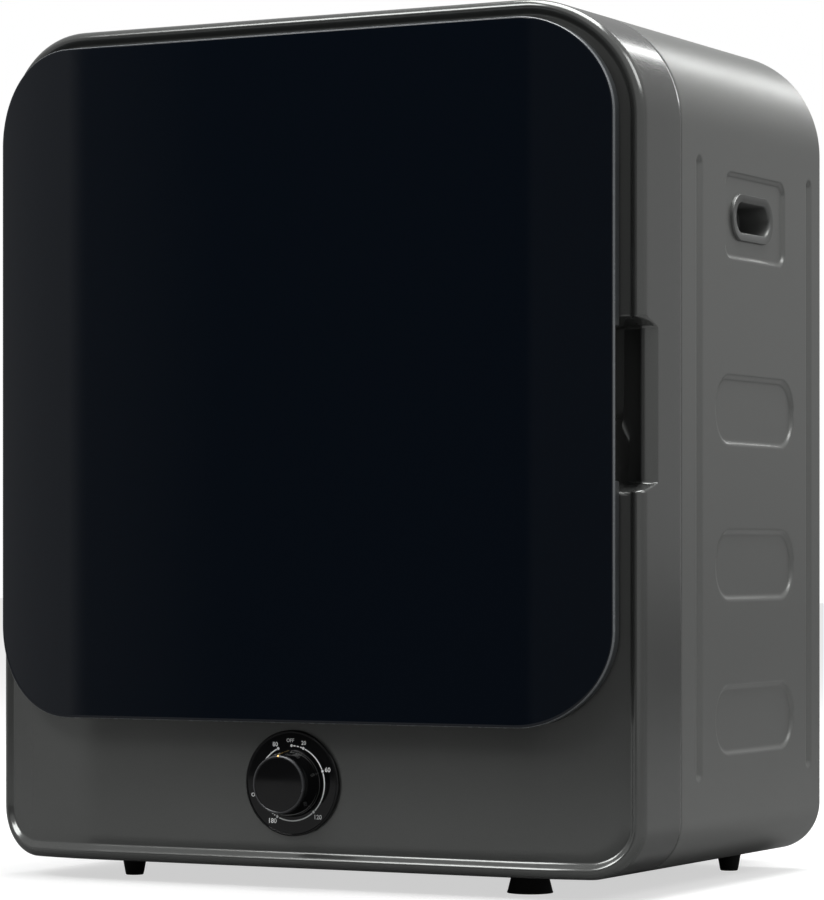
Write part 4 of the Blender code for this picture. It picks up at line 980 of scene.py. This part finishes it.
def drum_shell():
    """The stainless shell, with beads rolled round it between the lifters' ends."""
    outside = []
    for y in np.linspace(DRUM_FRONT + 0.012, DRUM_END, 120):
        wave = sum(math.exp(-(((y - bead) / 0.0022) ** 2)) for bead in (0.070, 0.1130, 0.1690, 0.2250))
        outside.append((DRUM_RADIUS - 0.0009 * min(wave, 1), y))
    shoulder = fillet([(NECK, DRUM_FRONT), (0.196, DRUM_FRONT), (DRUM_RADIUS, DRUM_FRONT + 0.009),
                       (DRUM_RADIUS, DRUM_FRONT + 0.0119)], [0, 0.010, 0.010, 0], 8)
    outer = shoulder + outside
    inner = [(radius - 0.0012, y) for radius, y in outside[::-1]]
    inner += [(radius - 0.0008, y + 0.0010) for radius, y in shoulder[:0:-1]]
    inner += [(NECK + 0.0012, DRUM_FRONT + 0.0014), (NECK + 0.0012, 0.064), (NECK, 0.064)]
    shell = turned(outer + inner, 0, AXIS_Z, 192, soft=0, closed=True, angle=50)
    piece(shell, "drum_skin", "drum", STAINLESS, ["drum_shell"])


def drum_back():
    windows = []
    for start in (40, 160, 280):
        windows.append(np.concatenate([arc(0.068, start, start + 100), arc(0.033, start + 100, start, 24)]))
    for t in np.radians(range(0, 360, 30)):
        windows.append(circle(0.011, 0.158 * math.cos(t), AXIS_Z + 0.158 * math.sin(t), 32))
    wall = plate([circle(DRUM_RADIUS - 0.0015, 0, AXIS_Z, 192), *windows], REAR_WALL, 0.0015, 0.0003)
    piece(wall, "drum_back", "drum", STAINLESS, ["drum_rear_wall"])


def lifters():
    inner = DRUM_RADIUS - 0.0024
    start, end = 0.078, REAR_WALL - 0.004
    for i in range(3):
        middle = math.radians(90 + 120 * i)
        rings = []
        stations = np.concatenate([start + 0.010 * (1 - np.cos(np.linspace(0, math.pi / 2, 9))),
                                   np.linspace(start + 0.02, end - 0.02, 6),
                                   end - 0.010 * (1 - np.cos(np.linspace(math.pi / 2, 0, 9)))])
        for y in stations:
            near = min(y - start, end - y)
            share = 0.80 + 0.20 * math.sqrt(max(0, 1 - (1 - min(near / 0.010, 1)) ** 2))
            line = []
            for k in np.linspace(-1, 1, 41):
                rise = 0.030 * share * float(smoothstep(1.0, 0.30, abs(k)))
                turn = middle + k * 0.028 * (0.9 + 0.1 * share) / inner
                line.append(((inner - rise) * math.cos(turn), y, AXIS_Z + (inner - rise) * math.sin(turn)))
            foot = inner + 0.0005
            for k in np.linspace(1, -1, 9):
                turn = middle + k * 0.028 * (0.9 + 0.1 * share) / inner
                line.append((foot * math.cos(turn), y, AXIS_Z + foot * math.sin(turn)))
            rings.append(line)
        shape = skin(rings, end_cap=True, angle=40)
        work = bmesh.new()
        work.from_mesh(shape.data)
        bmesh.ops.holes_fill(work, edges=[edge for edge in work.edges if edge.is_boundary])
        bmesh.ops.recalc_face_normals(work, faces=work.faces)
        work.to_mesh(shape.data)
        work.free()
        piece(shape, f"lifter_{i + 1}", "drum", LIGHT, [f"drum_lifter_{i + 1}"])


def lint_filter():
    """The filter's rim, its finger bar and the gauze behind it."""
    front, back = REAR_WALL - 0.014, REAR_WALL - 0.0003
    rim = turned(
        [(0.071, front), (0.075, front), (0.078, back), (0.074, back), (0.071, back - 0.004)], 0, AXIS_Z, 160,
        soft=0.0008, closed=True,
    )
    bar = plate([slot_outline(-0.0722, 0.0722, AXIS_Z, 0.0050, 16)], front + 0.0004, 0.0056, 0.0012)
    frame_piece = superpose("filter_rim", rim, bar)
    piece(frame_piece, "filter_rim", "lint_filter", LIGHT, ["lint_filter_frame"])
    near, far = back - 0.0035, back - 0.0027
    gauze = turned([(0.0705, near), (0.0705, far), (0.0, far)], 0, AXIS_Z, 96, soft=0.0002)
    front_face = turned([(0.0705, near), (0.0, near)], 0, AXIS_Z, 96, soft=0)
    cloth = superpose("filter_gauze", gauze, front_face)
    piece(cloth, "filter_gauze", "lint_filter", GAUZE, ["lint_filter_mesh"])


# ---- room, light and camera ----
DOME = 0.50
DIM = 0.045


def room():
    size = 14
    front = -1.3
    corners = [(-size, front, 0), (size, front, 0), (size, size, 0), (-size, size, 0)]
    floor = mesh_from(corners, [(0, 1, 2, 3)])
    floor.name = "floor"
    floor.data.materials.append(pale_floor())
    bpy.context.scene.collection.objects.link(floor)
    studio()


def pale_floor():
    """A pale floor that throws back less light than it shows, as a floor far under a stand would."""
    made = bpy.data.materials.new("pale_floor")
    made.use_nodes = True
    tree = made.node_tree
    tree.nodes.remove(tree.nodes["Principled BSDF"])
    lit = tree.nodes.new("ShaderNodeBsdfDiffuse")
    lit.inputs["Color"].default_value = (0.46, 0.46, 0.46, 1)
    glow = tree.nodes.new("ShaderNodeEmission")
    glow.inputs["Color"].default_value = (0.60, 0.60, 0.60, 1)
    shown = tree.nodes.new("ShaderNodeAddShader")
    tree.links.new(lit.outputs["BSDF"], shown.inputs[0])
    tree.links.new(glow.outputs["Emission"], shown.inputs[1])
    thrown = tree.nodes.new("ShaderNodeBsdfDiffuse")
    thrown.inputs["Color"].default_value = (0.22, 0.22, 0.22, 1)
    show_to_camera(tree, thrown.outputs["BSDF"], shown.outputs["Shader"], "Material Output")
    return made


def show_to_camera(tree, light, picture, output):
    """Sends light to the object and picture to the camera."""
    seen = tree.nodes.new("ShaderNodeLightPath")
    either = tree.nodes.new("ShaderNodeMixShader")
    tree.links.new(seen.outputs["Is Camera Ray"], either.inputs["Fac"])
    tree.links.new(light, either.inputs[1])
    tree.links.new(picture, either.inputs[2])
    tree.links.new(either.outputs["Shader"], tree.nodes[output].inputs["Surface"])


def studio():
    """A soft dome, bright overhead, dim round the horizon, with a white backdrop for the eye alone."""
    world = bpy.data.worlds.new("studio")
    bpy.context.scene.world = world
    world.use_nodes = True
    tree = world.node_tree
    place = tree.nodes.new("ShaderNodeTexCoord")
    split = tree.nodes.new("ShaderNodeSeparateXYZ")
    tree.links.new(place.outputs["Generated"], split.inputs["Vector"])

    def ramp(axis, start, end, low, high):
        spread = tree.nodes.new("ShaderNodeMapRange")
        for name, value in (("From Min", start), ("From Max", end), ("To Min", low), ("To Max", high)):
            spread.inputs[name].default_value = value
        tree.links.new(split.outputs[axis], spread.inputs["Value"])
        return spread.outputs["Result"]

    zones = [
        ramp("Y", 0.10, 0.60, DIM, 0.36), ramp("Z", 0.26, 0.44, DIM, DOME),
        ramp("X", -0.51, -0.64, DIM, 0.32), ramp("X", -0.26, -0.20, DIM, 0.09),
        ramp("X", 0.46, 0.62, DIM, 0.36),
    ]
    brightest = zones[0]
    for zone in zones[1:]:
        larger = tree.nodes.new("ShaderNodeMath")
        larger.operation = "MAXIMUM"
        tree.links.new(brightest, larger.inputs[0])
        tree.links.new(zone, larger.inputs[1])
        brightest = larger.outputs["Value"]
    lighting = tree.nodes["Background"]
    tree.links.new(brightest, lighting.inputs["Color"])
    backdrop = tree.nodes.new("ShaderNodeBackground")
    backdrop.inputs["Color"].default_value = (1, 1, 1, 1)
    show_to_camera(tree, lighting.outputs["Background"], backdrop.outputs["Background"], "World Output")


def area_light(name, place, target, width, height, power):
    light = bpy.data.lights.new(name, "AREA")
    light.shape = "RECTANGLE"
    light.size = width
    light.size_y = height
    light.energy = power
    lamp = bpy.data.objects.new(name, light)
    lamp.location = place
    lamp.rotation_euler = (Vector(target) - Vector(place)).to_track_quat("-Z", "Y").to_euler()
    bpy.context.scene.collection.objects.link(lamp)


def lights():
    area_light("top_box", (0.3, 0.2, 2.6), (0.1, 0.1, 0.5), 1.8, 1.8, 85)
    area_light("front_box", (-0.9, -2.2, 2.3), (0, -0.15, 0.2), 1.4, 1.0, 34)
    area_light("side_box", (2.6, 0.6, 2.0), (0.25, 0.1, 0.3), 1.2, 1.0, 16)
    area_light("corner_strip", (0.30, 3.0, 1.75), (0.2, 0.1, 0.5), 0.20, 1.3, 6)


def camera():
    eye = at(1.277, -2.268, 0.2135)
    data = bpy.data.cameras.new("camera")
    data.sensor_width = 36
    data.lens = 152.6
    data.shift_y = 0.1154
    data.clip_end = 60
    view = bpy.data.objects.new("camera", data)
    view.location = eye
    view.rotation_euler = (math.pi / 2, 0, math.radians(27.84))
    bpy.context.scene.collection.objects.link(view)
    bpy.context.scene.camera = view


bpy.context.scene.view_settings.view_transform = "Standard"
dress_cad_nodes()
cabinet_wrap()
side_grips()
front_bezel()
door_skin()
door_frame()
door_inner_panel()
door_seal()
dial_plate()
timer_knob()
feet()
rear_panel()
rear_hood()
exhaust_and_gland()
intake_cap()
drum_shell()
drum_back()
lifters()
lint_filter()
room()
lights()
camera()
